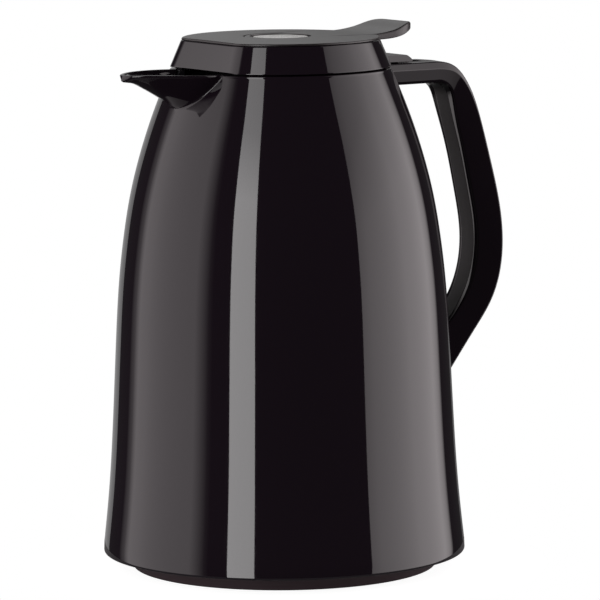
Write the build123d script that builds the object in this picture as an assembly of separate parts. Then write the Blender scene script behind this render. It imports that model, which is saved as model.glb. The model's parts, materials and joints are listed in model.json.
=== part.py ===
from build123d import *
import math
import os

# Thermal carafe: a glossy moulded body with a spout, a side handle, a glass vacuum flask inside, and a
# hinged lid that carries a thumb lever and a pouring valve.
# Frame: the origin is on the body's axis, in the plane that the foot stands on. +Z is up, the spout
# points to -X and the handle to +X. Lengths are millimetres.

# Body shell: the outline gives shares of the height and of the radius, from the widest ring to the mouth
body_radius = 72.4
body_mouth_radius = 43.9
body_widest_z = 9.0
body_bottom_z = 6.5
body_top_z = 199.7
body_edge_round = 2.2
shell_wall = 2.6
body_outline = [
    (0.0, 1.0), (0.11, 0.923), (0.267, 0.853), (0.435, 0.798), (0.566, 0.74), (0.655, 0.67),
    (0.739, 0.574), (0.823, 0.432), (0.907, 0.247), (1.0, 0.0),
]

# Spout: stations from the body outwards as (reach share, half width, keel drop, rim rise)
spout_start = body_mouth_radius - 5.9
spout_tip = body_mouth_radius + 31.0
spout_stations = [
    (0.0, 18.2, 19.6, 0.2), (0.25, 19.0, 14.8, 0.4), (0.5, 16.0, 9.3, 0.7), (0.73, 11.6, 4.9, 0.9),
    (0.87, 7.6, 2.4, 0.9), (1.0, 2.8, 1.2, 0.8),
]
spout_section_power = 1.85
spout_lip = 2.1

# Foot and base cap
foot_radius = body_radius - 11.7
foot_flare = 1.9
foot_ring_width = 4.8
foot_height = 7.0
cap_floor = 2.5
cap_floor_z = 3.0
cap_skirt_wall = 2.6
cap_skirt_top_z = 20.0
cap_clearance = 0.25
base_seal_z = 12.5
base_seal_height = 2.2
base_seal_depth = 1.5

# Glass flask: double wall with a vacuum between, neck up, resting on a rubber cushion
flask_radius = body_radius - 15.4
flask_neck_radius = 31.4
flask_bottom_z = 16.0
flask_shoulder_z = body_top_z - 81.7
flask_neck_z = body_top_z - 41.7
flask_lip_z = body_top_z - 19.2
flask_glass = 1.7
flask_vacuum = 2.0
flask_heel_round = 16.0
flask_shoulder_round = 30.0
flask_neck_round = 18.0
flask_tip_length = 5.5
flask_tip_radius = 2.6
spacer_radius = 6.0
spacer_count = 3
spacer_gap = 0.15
cushion_radius = 27.0
cushion_hole_radius = 8.0
soft_gap = 0.3

# Pouring collar between the flask's neck and the body's mouth
gasket_reach = 0.9
gasket_top = 3.4
gasket_skirt = 4.0
collar_clearance = 0.1
collar_bottom_z = body_top_z - 15.5
bore_bottom_radius = flask_neck_radius - 6.5
bore_top_radius = flask_neck_radius - 2.8
bore_top_z = body_top_z - 3.5
collar_wall = 2.4
collar_deck = 2.0
collar_deck_z = body_top_z - 2.5
collar_rim_z = body_top_z - 0.2
collar_rim_drop = 8.5
collar_flange = 2.0
collar_rim_wall = 1.8
collar_rim_step = 2.0
channel_floor_z = body_top_z - 11.1
channel_half_width = 9.5
channel_mouth_half_width = 14.5

# Lid: a tapered skirt with one flat leaning facet over the spout
seam_gap = 0.6
lid_radius = body_mouth_radius + 0.1
lid_top_radius = body_mouth_radius - 4.6
lid_height = 11.1
facet_distance = body_mouth_radius - 6.1
facet_top_distance = body_mouth_radius - 10.3
facet_lift = 0.9
facet_round = 12.0
lid_wall = 2.0
plate_edge = 0.9
plate_gap = 0.4
plate_crown = 0.65
dome_flat = 0.5
plate_spigot = 1.6
plate_skin = 1.6
lid_fit = 0.15

# Lid carrier: floor of the lid and the plug cup that closes the neck
carrier_lift = 0.3
carrier_floor = 1.8
plug_clearance = 0.8
plug_wall = 2.0
plug_floor = 2.4
plug_bottom_z = body_top_z - 20.7
seat_radius = 10.5
port_half_width = 8.5
port_bottom_z = body_top_z - 10.2
port_top_z = body_top_z - 2.2
plug_seal_z = body_top_z - 13.2
plug_seal_height = 2.2
plug_seal_depth = 1.0
guide_radius = 4.2
guide_bottom_z = body_top_z - 4.2

# Valve: disc, seal, stem and return spring
disc_radius = 13.4
disc_thickness = 2.4
valve_seal_thickness = 1.8
valve_seal_gap = 0.2
stem_radius = 2.6
running_gap = 0.06
spring_radius = 6.4
spring_wire = 1.2
spring_turns = 5
spring_end_gap = 0.1
stem_pin_radius = 1.0
stem_pin_z = body_top_z + 5.8
stem_top_cover = 1.4

# Thumb lever and its pivot: crest and belly points are (distance outside the mouth's radius, rise)
lever_half_width = 14.5
lever_gap = 0.25
lever_tip = body_mouth_radius + 16.8
lever_tip_flat = 0.3
lever_skin = 2.6
lever_crest = [(-16.9, -0.1), (-7.9, -0.2), (-1.9, 0.4), (3.1, 1.4), (7.1, 2.7), (12.1, 3.7)]
lever_belly = [(14.1, 1.1), (7.1, -0.5), (0.1, -2.1)]
lever_flat_end = body_mouth_radius - 6.9
lever_lip_high = 3.0
lever_lip_low = 1.4
lever_lip_round = 0.8
lever_pivot_x = 27.0
lever_pivot_z = body_top_z + 6.8
lever_pin_radius = 1.5
lever_lug = 2.4
lever_lug_inside = 8.4
lever_lug_radius = 2.8
stem_lug_inside = 3.1
stem_lug = 1.8
stem_lug_half_length = 2.8
stem_lug_drop = 2.0
stem_slot_gap = 0.08
stem_slot_stretch = 1.5
lever_notch_z = body_top_z + 7.3
post_gap = 0.3
post_width = 2.5
post_half_length = 3.0
post_top_drop = 0.6
badge_radius = 10.9
badge_recess_radius = 12.2
badge_recess = 1.1
badge_thickness = 1.1
badge_crown = 0.35
lever_sink = 0.15

# Handle: outline points as shares of reach and of height, from the top arm round to the lower root
handle_reach = body_radius + 31.2
handle_arm_end = body_mouth_radius + 26.1
handle_drop = 0.5
handle_low_z = 61.0
handle_half_width = 10.0
handle_outer_round = 3.2
handle_inner_round = 2.8
arm_depth = 8.5
handle_outer = [
    (0.0, 1.0), (0.265, 0.987), (0.473, 0.935), (0.625, 0.854), (0.827, 0.697), (1.0, 0.457),
    (0.958, 0.368), (0.815, 0.281), (0.551, 0.197), (-0.164, 0.0),
]
handle_inner = [
    (0.06, 0.9385), (0.208, 0.922), (0.307, 0.873), (0.467, 0.752), (0.616, 0.601), (0.693, 0.467),
    (0.655, 0.384), (0.521, 0.303), (0.253, 0.221), (-0.164, 0.13),
]
handle_fit = 0.05
handle_back_wall = 3.0
grip_depth = 11.2
cover_half_width = 6.8
cover_thickness = 2.2
cover_recess = 0.3
cover_fit = 0.1
cover_ledge = 1.0
cover_start = 0.09
cover_end = 0.83
tongue_half_width = 6.0
tongue_height = 4.6
tongue_z = body_top_z - 4.7
handle_screw_z = handle_low_z + 15.0
handle_screw_spacing = 9.4
handle_screw_radius = 1.7
handle_screw_length = 12.0
screw_head_radius = 3.4
screw_head_height = 2.2
screw_hole_gap = 0.3

# Lid hinge on the handle's arm
hinge_x = body_mouth_radius + 19.1
hinge_z = body_top_z - 4.2
hinge_pin_radius = 1.5
hinge_hub_radius = 3.2
hinge_hub_half_width = 3.5
hinge_side_gap = 0.3
hinge_press_gap = 0.01
hinge_pocket_x = body_mouth_radius + 10.3
hinge_pocket_z = body_top_z - 6.3
hinge_pin_start = 1.6
hinge_pin_sunk = 0.6
web_gap = 0.4
web_depth = 1.8
leaf_half_width = 7.4
leaf_top_z = body_top_z + 2.7
leaf_lift = 0.3
leaf_tail_x = body_mouth_radius + 15.8
leaf_tail_round = 7.7
leaf_tail_bulge = (1.7, 1.2)
leaf_neck_inset = 4.6
leaf_step_out = 1.2
leaf_tongue_gap = 1.0
leaf_tongue_corner = 1.5
leaf_seat_gap = 0.02
leaf_tongue_top_z = body_top_z + 5.3
leaf_tongue_start = body_mouth_radius - 14.4
leaf_screw_x = body_mouth_radius - 10.3
leaf_screw_spacing = 9.0
leaf_screw_radius = 1.25
leaf_screw_head_radius = 2.4
leaf_screw_head = 1.5
leaf_boss_radius = 2.9
leaf_boss_z = body_top_z - 1.4

lid_z = body_top_z + seam_gap
lid_top_z = lid_z + lid_height
carrier_z = lid_z + carrier_lift
carrier_top_z = carrier_z + carrier_floor
skirt_top_z = lid_top_z - plate_edge - plate_gap + 0.5
plate_top_z = lid_top_z + plate_crown + 0.4
lever_flush_z = plate_top_z - lever_sink


def bend(points, start, end):
    """Spline through points in a side view that leaves along start and arrives along end."""
    return Spline(*points, tangents=[start, end], tangent_scalars=[1, 1])


def ring(*corners):
    """Solid of revolution about the body's axis from (radius, height) corners."""
    face = make_face(Polyline(*corners, close=True))
    return revolve(Plane.XZ * face, Axis.Z)


def dome(radius, low_z, rise, base_z):
    """Solid of revolution from base_z up to a crowned top with a small flat at its middle."""
    sphere = ((radius - dome_flat) ** 2 + rise ** 2) / (2 * rise)
    top_z = low_z + rise
    half = (radius - dome_flat) / 2
    middle = top_z - sphere + math.sqrt(sphere ** 2 - half ** 2)
    face = Face(Wire([
        Line((0, base_z), (radius, base_z)), Line((radius, base_z), (radius, low_z)),
        ThreePointArc((radius, low_z), (dome_flat + half, middle), (dome_flat, top_z)),
        Line((dome_flat, top_z), (0, top_z)), Line((0, top_z), (0, base_z)),
    ]))
    return revolve(Plane.XZ * face, Axis.Z)


def slab(outline, half_width):
    """Side outline in (x, z), made into a solid of even width about the middle plane."""
    return extrude(Plane.XZ * outline, half_width, both=True)


def block(x0, x1, y0, y1, z0, z1):
    return Pos((x0 + x1) / 2, (y0 + y1) / 2, (z0 + z1) / 2) * Box(x1 - x0, y1 - y0, z1 - z0)


def upright(x, y, radius, z0, z1):
    return Pos(x, y, (z0 + z1) / 2) * Cylinder(radius, z1 - z0)


def cross_rod(x, z, radius, y0, y1):
    return Pos(x, (y0 + y1) / 2, z) * Rot(90, 0, 0) * Cylinder(radius, y1 - y0)


def radial_rod(y, z, radius, x0, x1):
    return Pos((x0 + x1) / 2, y, z) * Rot(0, 90, 0) * Cylinder(radius, x1 - x0)


def outline_points():
    span_z = body_top_z - body_widest_z
    span_r = body_radius - body_mouth_radius
    return [(body_mouth_radius + r * span_r, body_widest_z + z * span_z) for z, r in body_outline]


def body_line(inset):
    """The body's outline in (radius, height), moved inwards by inset square to the wall."""
    outer = Spline(*outline_points())
    if inset == 0:
        return outer
    moved = []
    for step in range(13):
        share = step / 12
        point = outer @ share
        slope = outer % share
        moved.append((point.X - inset / abs(slope.Y), point.Y))
    return Spline(*moved)


def body_form(inset, bottom_z, top_z):
    """Solid inside the body's outline, moved inwards by inset, from bottom_z to top_z."""
    line = body_line(inset)
    low = line @ 0
    high = line @ 1
    edges = [
        Line((0, bottom_z), (low.X, bottom_z)), Line((low.X, bottom_z), (low.X, low.Y)), line,
    ]
    last = (high.X, high.Y)
    if top_z > high.Y:
        edges.append(Line(last, (high.X, top_z)))
        last = (high.X, top_z)
    edges.append(Line(last, (0, last[1])))
    edges.append(Line((0, last[1]), (0, bottom_z)))
    return revolve(Plane.XZ * Face(Wire(edges)), Axis.Z)


def body_radius_at(height, inset=0):
    """Radius of the body's outline at a height, found by halving the outline's length."""
    line = body_line(inset)
    low = 0.0
    high = 1.0
    for _ in range(30):
        middle = (low + high) / 2
        if (line @ middle).Y < height:
            low = middle
        else:
            high = middle
    return (line @ low).X


def spout_section(x, half_width, keel_z, rim_z):
    """Cross-section of the spout: a rounded keel below and a straight line across the rim."""
    points = []
    for step in range(9):
        share = step / 4 - 1
        points.append((half_width * share, keel_z + (rim_z - keel_z) * abs(share) ** spout_section_power))
    edges = [Spline(*points), Line(points[-1], points[0])]
    return Plane.YZ.offset(-x) * Face(Wire(edges))


def spout_form():
    faces = []
    for share, half_width, drop, rise in spout_stations:
        x = spout_start + share * (spout_tip - spout_start)
        faces.append(spout_section(x, half_width, body_top_z - drop, body_top_z + rise))
    return loft(faces)


def spout_trough():
    """The open channel in the spout, which ends level with the rim at the tip."""
    over = 3.0
    faces = []
    for share, half_width, drop, rise in spout_stations:
        x = spout_start - 1 + share * (spout_tip - spout_start + 1.2)
        inside = max(half_width - spout_lip, 0.9)
        keel = min(body_top_z - drop + spout_lip * 1.1, body_top_z + rise - 0.25)
        stretch = (body_top_z + rise + over - keel) / (body_top_z + rise - keel)
        grown = inside * stretch ** (1 / spout_section_power)
        if share > 0.8:
            grown = inside * 1.25
        faces.append(spout_section(x, grown, keel, body_top_z + rise + over))
    return loft(faces)


def body_shell():
    outer = body_form(0, body_bottom_z, body_top_z)
    foot_edge = outer.edges().filter_by(GeomType.CIRCLE).sort_by(Axis.Z)[0]
    outer = fillet(foot_edge, body_edge_round)
    shell = outer + spout_form()
    shell -= body_form(shell_wall, body_bottom_z - 1, body_top_z + 1)
    shell -= spout_trough()
    slot = block(spout_start, body_radius, -tongue_half_width - handle_fit * 4,
                 tongue_half_width + handle_fit * 4, tongue_z - tongue_height / 2 - handle_fit * 4,
                 tongue_z + tongue_height / 2 + handle_fit * 4)
    shell -= slot
    for side in (-1, 1):
        y = side * handle_screw_spacing / 2
        shell -= radial_rod(y, handle_screw_z, handle_screw_radius + screw_hole_gap, flask_radius,
                            body_radius + 5)
    return shell


def base_cap():
    """Screw-in base with the foot ring, a dished floor and a skirt inside the shell."""
    skirt_inside = body_radius_at(body_widest_z, shell_wall + cap_clearance + cap_skirt_wall)
    skirt_tip = body_radius_at(cap_skirt_top_z, shell_wall + cap_clearance + cap_skirt_wall)
    foot_inside = foot_radius - foot_ring_width
    cap = ring(
        (0, cap_floor_z), (foot_inside - 1, cap_floor_z), (foot_inside, 0), (foot_radius - 0.8, 0),
        (foot_radius, 0.8), (foot_radius + foot_flare, foot_height), (body_radius, foot_height),
        (body_radius, cap_skirt_top_z), (skirt_tip, cap_skirt_top_z),
        (skirt_inside, foot_height + cap_floor), (foot_radius - 2, foot_height + cap_floor),
        (foot_inside - 3, cap_floor_z + cap_floor), (0, cap_floor_z + cap_floor),
    )
    cap &= body_form(shell_wall + cap_clearance, -1, cap_skirt_top_z + 5)
    groove = body_form(0, base_seal_z - 20, base_seal_z + 20)
    groove &= block(-99, 99, -99, 99, base_seal_z - base_seal_height / 2, base_seal_z + base_seal_height / 2)
    groove -= body_form(shell_wall + cap_clearance + base_seal_depth, -1, body_top_z)
    return cap - groove


def base_seal():
    """Rubber ring in the groove of the base cap's skirt."""
    half = base_seal_height / 2 - cap_clearance / 2
    seal = body_form(shell_wall + cap_clearance / 2, -1, body_top_z)
    seal &= block(-99, 99, -99, 99, base_seal_z - half, base_seal_z + half)
    return seal - body_form(shell_wall + cap_clearance + base_seal_depth - cap_clearance / 2, -1, body_top_z)


def moved_corners(corners, inset):
    """Corners of an open line after each stretch has moved to its left by inset."""
    stretches = []
    for first, second in zip(corners[:-1], corners[1:]):
        dx = second[0] - first[0]
        dz = second[1] - first[1]
        size = math.hypot(dx, dz)
        left = (-dz / size * inset, dx / size * inset)
        stretches.append(((first[0] + left[0], first[1] + left[1]), (dx, dz), left, second))
    moved = [stretches[0][0]]
    for one, two in zip(stretches[:-1], stretches[1:]):
        cross = one[1][0] * two[1][1] - one[1][1] * two[1][0]
        gap = (two[0][0] - one[0][0], two[0][1] - one[0][1])
        reach = (gap[0] * two[1][1] - gap[1] * two[1][0]) / cross
        moved.append((one[0][0] + reach * one[1][0], one[0][1] + reach * one[1][1]))
    end = stretches[-1]
    moved.append((end[3][0] + end[2][0], end[3][1] + end[2][1]))
    return moved


def flask_form(inset, top_z):
    """Solid inside the flask's outline, moved inwards by inset and cut off at top_z."""
    corners = [
        (0, flask_bottom_z), (flask_radius, flask_bottom_z), (flask_radius, flask_shoulder_z),
        (flask_neck_radius, flask_neck_z), (flask_neck_radius, top_z),
    ]
    moved = moved_corners(corners, inset)
    rounds = [flask_heel_round - inset, flask_shoulder_round - inset, flask_neck_round + inset]
    line = FilletPolyline(*moved, radius=rounds)
    top = moved[-1]
    edges = list(line.edges()) + [Line(top, (0, top[1])), Line((0, top[1]), moved[0])]
    return revolve(Plane.XZ * Face(Wire(edges)), Axis.Z)


def glass_flask():
    """Double-walled glass flask: one closed piece with the vacuum sealed inside its wall."""
    whole_wall = flask_glass * 2 + flask_vacuum
    body = flask_form(0, flask_lip_z)
    lip_edge = body.edges().filter_by(GeomType.CIRCLE).sort_by(Axis.Z)[-1]
    body = fillet(lip_edge, whole_wall * 0.45)
    tip = Pos(0, 0, flask_bottom_z - flask_tip_length / 2 + 0.3) * Rot(180, 0, 0) * Cone(
        flask_tip_radius, flask_tip_radius * 0.4, flask_tip_length)
    body += tip
    void = flask_form(flask_glass, flask_lip_z - flask_glass * 2)
    void -= flask_form(flask_glass + flask_vacuum, flask_lip_z)
    body -= flask_form(whole_wall, flask_lip_z + 1)
    return body - void


def flask_spacers():
    """Small pads between the two glass walls that steady the inner wall."""
    pads = []
    for index in range(spacer_count):
        angle = math.radians(360 / spacer_count * index + 30)
        z = flask_bottom_z + flask_heel_round + spacer_radius * 2
        inner = flask_radius - flask_glass - flask_vacuum + spacer_gap
        outer = flask_radius - flask_glass - spacer_gap
        pad = ring((inner, z - spacer_radius), (outer, z - spacer_radius), (outer, z + spacer_radius),
                   (inner, z + spacer_radius))
        reach = Pos(math.cos(angle) * flask_radius, math.sin(angle) * flask_radius, z)
        pads.append(pad & (reach * Sphere(spacer_radius)))
    return pads


def liner_cushion():
    """Rubber cup under the flask, with a hole for the sealed tip."""
    floor_z = cap_floor_z + cap_floor
    top_z = flask_bottom_z + 2.5
    pad = ring((cushion_hole_radius, floor_z), (cushion_radius, floor_z), (cushion_radius - 3, top_z),
               (cushion_hole_radius, flask_bottom_z))
    return pad - flask_form(-soft_gap, flask_lip_z)


def neck_gasket():
    """Silicone ring that caps the flask's lip under the collar."""
    neck_inside = flask_neck_radius - flask_glass * 2 - flask_vacuum
    top_z = flask_lip_z + gasket_top - soft_gap / 2
    inside = neck_inside - gasket_reach
    outside = flask_neck_radius + gasket_reach
    gasket = ring((inside, flask_lip_z - gasket_skirt), (outside, flask_lip_z - gasket_skirt),
                  (outside, top_z), (inside, top_z))
    return gasket - (flask_form(-soft_gap / 2, flask_lip_z + soft_gap / 2)
                     - flask_form(flask_glass * 2 + flask_vacuum + soft_gap / 2, flask_lip_z + 9))


def bore_radius(z):
    taper = (bore_top_radius - bore_bottom_radius) / (bore_top_z - collar_bottom_z)
    return bore_bottom_radius + (z - collar_bottom_z) * taper


def pouring_collar():
    """Ring that seats on the flask's lip, fills the body's mouth and leads the flow to the spout."""
    rim_inside = body_radius_at(collar_rim_z, shell_wall + collar_clearance) - collar_rim_wall
    low_z = collar_rim_z - collar_rim_drop
    flange = flask_neck_radius + gasket_reach
    collar = ring(
        (bore_bottom_radius, collar_bottom_z), (bore_top_radius, bore_top_z),
        (rim_inside, collar_deck_z), (rim_inside, collar_rim_z), (body_radius, collar_rim_z),
        (body_radius, low_z), (rim_inside + collar_rim_step, low_z),
        (rim_inside + collar_rim_step, collar_deck_z - collar_deck),
        (bore_top_radius + collar_wall, bore_top_z - collar_deck),
        (bore_radius(collar_bottom_z + collar_flange) + collar_wall, collar_bottom_z + collar_flange),
        (flange, collar_bottom_z + collar_flange), (flange, collar_bottom_z),
    )
    duct = Pos(0, 0, channel_floor_z - collar_deck) * extrude(channel_plan(collar_wall), collar_deck_z
                                                              - channel_floor_z + collar_deck)
    low_z = collar_bottom_z - collar_wall
    duct -= ring((0, low_z), (bore_radius(low_z), low_z), (bore_radius(body_top_z), body_top_z),
                 (0, body_top_z))
    collar += duct
    collar &= body_form(shell_wall + collar_clearance, 0, body_top_z + 1)
    channel = Pos(0, 0, channel_floor_z) * extrude(channel_plan(0), body_top_z)
    return collar - channel


def channel_plan(extra):
    """Plan of the pouring channel, which widens from the neck to the spout."""
    near = bore_bottom_radius - 6
    far = body_mouth_radius + 9
    return make_face(Polyline(
        (-near, -channel_half_width - extra), (-near, channel_half_width + extra),
        (-body_mouth_radius, channel_mouth_half_width + extra), (-far, channel_mouth_half_width + extra),
        (-far, -channel_mouth_half_width - extra), (-body_mouth_radius, -channel_mouth_half_width - extra),
        close=True))


def lid_radius_at(z):
    return lid_radius - (lid_radius - lid_top_radius) * (z - lid_z) / lid_height


def facet_at(z):
    return facet_distance - (facet_distance - facet_top_distance) * (z - lid_z) / lid_height


def lid_form(inset, z0, z1):
    """Solid with the lid's tapered round sides and its leaning facet, moved inwards by inset."""
    cone = ring((0, z0), (lid_radius_at(z0) - inset, z0), (lid_radius_at(z1) - inset, z1), (0, z1))
    keep = make_face(Polyline(
        (-facet_at(z0) + inset, z0), (-facet_at(z1) + inset, z1), (lid_radius * 2, z1),
        (lid_radius * 2, z0), close=True))
    return cone & slab(keep, lid_radius * 2)


def rounded_lid_form(inset, z0, z1):
    """The same solid with the two creases beside the facet rounded."""
    form = lid_form(inset, z0, z1)
    creases = [edge for edge in form.edges() if edge.bounding_box().size.Z > (z1 - z0) * 0.9
               and edge.center().X < 0]
    return fillet(creases, facet_round)


def lever_slot(gap):
    """Space of the lever in the lid's top: a round front end and straight sides to the rear."""
    half = lever_half_width + gap
    slot = upright(0, 0, half, lid_z, lid_top_z + 9)
    return slot + block(0, lid_radius * 1.5, -half, half, lid_z, lid_top_z + 9)


def lid_shell():
    shell = rounded_lid_form(0, lid_z, skirt_top_z)
    shell -= lid_form(lid_wall, lid_z - 1, skirt_top_z + 1)
    shell -= block(-lid_radius * 2, -facet_distance + lid_wall + 0.5, -lid_radius, lid_radius, lid_z - 1,
                   lid_z + facet_lift)
    shell -= block(lid_radius / 2, lid_radius * 2, -lever_half_width - lever_gap,
                   lever_half_width + lever_gap, lever_notch_z, lid_top_z)
    half = leaf_half_width + hinge_side_gap
    return shell - block(lid_radius / 2, lid_radius * 2, -half, half, lid_z - 1, leaf_top_z + lid_fit)


def lid_top():
    """Crowned cover of the lid with the lever's slot and a spigot inside the skirt."""
    under_z = skirt_top_z
    lip = rounded_lid_form(0.1, under_z + plate_gap, plate_top_z + 1)
    neck = lid_form(0.9, under_z, under_z + plate_gap + 0.2)
    plate = lip + neck
    spigot = lid_form(lid_wall + lid_fit + 0.3, under_z - plate_spigot, under_z + plate_gap + 0.2)
    spigot -= lid_form(lid_wall + lid_fit + 0.3 + plate_skin, under_z - plate_spigot - 1, under_z)
    plate += spigot
    plate &= dome(lid_radius, plate_top_z - plate_crown, plate_crown, lid_z)
    return plate - lever_slot(lever_gap)


def plug_radius(z):
    return bore_radius(z) - plug_clearance


def lid_carrier():
    """Lid floor with the plug cup, valve seat, stem guide, lever posts and hinge bosses in one moulding."""
    outer = ring((0, plug_bottom_z), (plug_radius(plug_bottom_z), plug_bottom_z),
                 (plug_radius(carrier_z), carrier_z + 0.1), (0, carrier_z + 0.1))
    cup_z = plug_bottom_z + plug_floor
    inner = ring((0, cup_z), (plug_radius(cup_z) - plug_wall, cup_z),
                 (plug_radius(carrier_z) - plug_wall, carrier_z), (0, carrier_z))
    cup = outer - inner
    floor = lid_form(lid_wall + lid_fit, carrier_z, carrier_top_z)
    carrier = cup + floor
    carrier += upright(0, 0, guide_radius, guide_bottom_z, carrier_z + 0.1)
    carrier -= upright(0, 0, stem_radius + running_gap, guide_bottom_z - 1, carrier_top_z + 1)
    carrier -= upright(0, 0, seat_radius, plug_bottom_z - 1, cup_z + 1)
    carrier -= block(-lid_radius, -guide_radius * 2, -port_half_width, port_half_width, port_bottom_z,
                     port_top_z)
    half = plug_seal_height / 2
    low_z = plug_seal_z - half
    high_z = plug_seal_z + half
    carrier -= ring((plug_radius(low_z) - plug_seal_depth, low_z), (bore_top_radius, low_z),
                    (bore_top_radius, high_z), (plug_radius(low_z) - plug_seal_depth, high_z))
    post_y = lever_lug_inside + lever_lug + post_gap
    post_top_z = lever_pivot_z + lever_lug_radius - post_top_drop
    for side in (-1, 1):
        y0 = min(side * post_y, side * (post_y + post_width))
        carrier += block(lever_pivot_x - post_half_length, lever_pivot_x + post_half_length, y0,
                         y0 + post_width, carrier_z, post_top_z)
        boss_y = side * leaf_screw_spacing / 2
        carrier += upright(leaf_screw_x, boss_y, leaf_boss_radius, leaf_boss_z, carrier_z + 0.1)
        carrier -= upright(leaf_screw_x, boss_y, leaf_screw_radius, leaf_boss_z + 0.8, carrier_top_z + 1)
    carrier -= cross_rod(lever_pivot_x, lever_pivot_z, lever_pin_radius + hinge_press_gap, -post_y * 2,
                         post_y * 2)
    half = leaf_half_width + hinge_side_gap
    return carrier - block(leaf_neck_x() - lid_fit, lid_radius, -half, half, lid_z, carrier_top_z + 1)


def leaf_neck_x():
    return lid_radius_at(carrier_z) - lid_wall - leaf_neck_inset


def lid_seal():
    """Silicone ring in the plug's groove, just clear of the collar's bore."""
    half = plug_seal_height / 2 - 0.05
    low_z = plug_seal_z - half
    high_z = plug_seal_z + half
    inside = plug_radius(plug_seal_z - plug_seal_height / 2) - plug_seal_depth + 0.05
    return ring((inside, low_z), (bore_radius(low_z) - soft_gap, low_z),
                (bore_radius(low_z) - soft_gap, high_z), (inside, high_z))


def disc_bottom_z():
    return plug_bottom_z + plug_floor + valve_seal_gap + valve_seal_thickness


def valve_stem():
    """Valve disc and stem in one moulding, with a cross hole for the stem pin."""
    low_z = disc_bottom_z()
    top_z = stem_pin_z + stem_pin_radius + stem_top_cover
    disc = ring((0, low_z), (disc_radius, low_z), (disc_radius, low_z + disc_thickness * 0.5),
                (stem_radius * 1.6, low_z + disc_thickness), (0, low_z + disc_thickness))
    stem = disc + upright(0, 0, stem_radius, low_z, top_z)
    return stem - cross_rod(0, stem_pin_z, stem_pin_radius + hinge_press_gap, -5, 5)


def valve_seal():
    low_z = disc_bottom_z() - valve_seal_thickness
    return ring((seat_radius - 1.5, low_z), (disc_radius, low_z), (disc_radius, disc_bottom_z()),
                (seat_radius - 1.5, disc_bottom_z()))


def valve_spring():
    """Coil spring between the valve disc and the underside of the lid's floor."""
    low_z = disc_bottom_z() + disc_thickness + spring_wire / 2 + spring_end_gap
    high_z = carrier_z - spring_wire / 2 - spring_end_gap
    rise = high_z - low_z
    path = Pos(0, 0, low_z) * Helix(pitch=rise / spring_turns, height=rise, radius=spring_radius)
    start = Plane(origin=path @ 0, z_dir=path % 0)
    return sweep(start * Circle(spring_wire / 2), path=path, is_frenet=True)


def lever_outline():
    """Side outline of the lever: flush with the lid in front, swept up into a thumb pad behind."""
    flush_z = lever_flush_z
    front = -lever_half_width - 1
    under_z = flush_z - lever_skin
    lip_x = lever_tip - lever_lip_round
    high = (lip_x, flush_z + lever_lip_high)
    low = (lip_x, flush_z + lever_lip_low)
    crest = [(body_mouth_radius + x, flush_z + rise) for x, rise in lever_crest]
    belly = [(body_mouth_radius + x, flush_z + rise) for x, rise in lever_belly]
    top = bend([(lever_half_width, flush_z), *crest, high], (1, 0), (0.88, -0.48))
    under = bend([low, *belly, (lever_flat_end, under_z)], (-1, -0.1), (-1, 0))
    return Face(Wire([
        Line((front, flush_z), (lever_half_width, flush_z)), top,
        ThreePointArc(high, (lever_tip, flush_z + (lever_lip_high + lever_lip_low) / 2), low),
        under, Line((lever_flat_end, under_z), (front, under_z)), Line((front, under_z), (front, flush_z)),
    ]))


def lever():
    """Thumb lever with the badge recess, two pivot lugs and two slotted lugs that lift the stem."""
    rear_x = lever_tip - lever_half_width + lever_tip_flat
    plan = make_face(Polyline((0, -lever_half_width), (rear_x, -lever_half_width),
                              (rear_x, lever_half_width), (0, lever_half_width), close=True))
    plan = plan + Circle(lever_half_width) + Pos(rear_x, 0) * Circle(lever_half_width)
    tongue = slab(lever_outline(), lever_half_width) & (Pos(0, 0, lid_z) * extrude(plan, lid_height * 2))
    flush_z = lever_flush_z
    tongue -= upright(0, 0, badge_recess_radius, flush_z - badge_recess, flush_z + 5)
    under_z = flush_z - lever_skin
    for side in (-1, 1):
        y0 = min(side * lever_lug_inside, side * (lever_lug_inside + lever_lug))
        tongue += block(lever_pivot_x - lever_lug_radius, lever_pivot_x + lever_lug_radius, y0,
                        y0 + lever_lug, lever_pivot_z, under_z + 0.1)
        tongue += cross_rod(lever_pivot_x, lever_pivot_z, lever_lug_radius, y0, y0 + lever_lug)
        y0 = min(side * stem_lug_inside, side * (stem_lug_inside + stem_lug))
        tongue += block(-stem_lug_half_length, stem_lug_half_length, y0, y0 + stem_lug,
                         stem_pin_z - stem_lug_drop, under_z + 0.1)
    tongue -= cross_rod(lever_pivot_x, lever_pivot_z, lever_pin_radius + running_gap, -20, 20)
    half = stem_pin_radius + stem_slot_gap
    tongue -= block(-half * stem_slot_stretch, half * stem_slot_stretch, -6, 6, stem_pin_z - half,
                    stem_pin_z + half)
    return tongue


def lever_pin():
    reach = lever_lug_inside + lever_lug + post_gap + post_width - 0.2
    return cross_rod(lever_pivot_x, lever_pivot_z, lever_pin_radius, -reach, reach)


def stem_pin():
    reach = stem_lug_inside + stem_lug + 0.4
    return cross_rod(0, stem_pin_z, stem_pin_radius, -reach, reach)


def badge():
    """Bare round metal plate, slightly domed, in the lever's recess."""
    low_z = lever_flush_z - badge_recess
    return dome(badge_radius, low_z + badge_thickness - badge_crown, badge_crown, low_z)


def handle_points(shares):
    top_z = body_top_z - handle_drop
    return [(handle_arm_end + x * (handle_reach - handle_arm_end),
             handle_low_z + z * (top_z - handle_low_z)) for x, z in shares]


def grip_line():
    """The grip's inner outline, from the arm's underside down to the lower root."""
    return bend(handle_points(handle_inner), (1, 0), (-0.72, -0.69))


def handle_line(shift):
    """The grip's inner outline, moved into the grip by shift."""
    inner = grip_line()
    moved = []
    for step in range(15):
        share = step / 14
        point = inner @ share
        slope = inner % share
        moved.append((point.X - slope.Y * shift, point.Y + slope.X * shift))
    return Spline(*moved)


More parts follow.
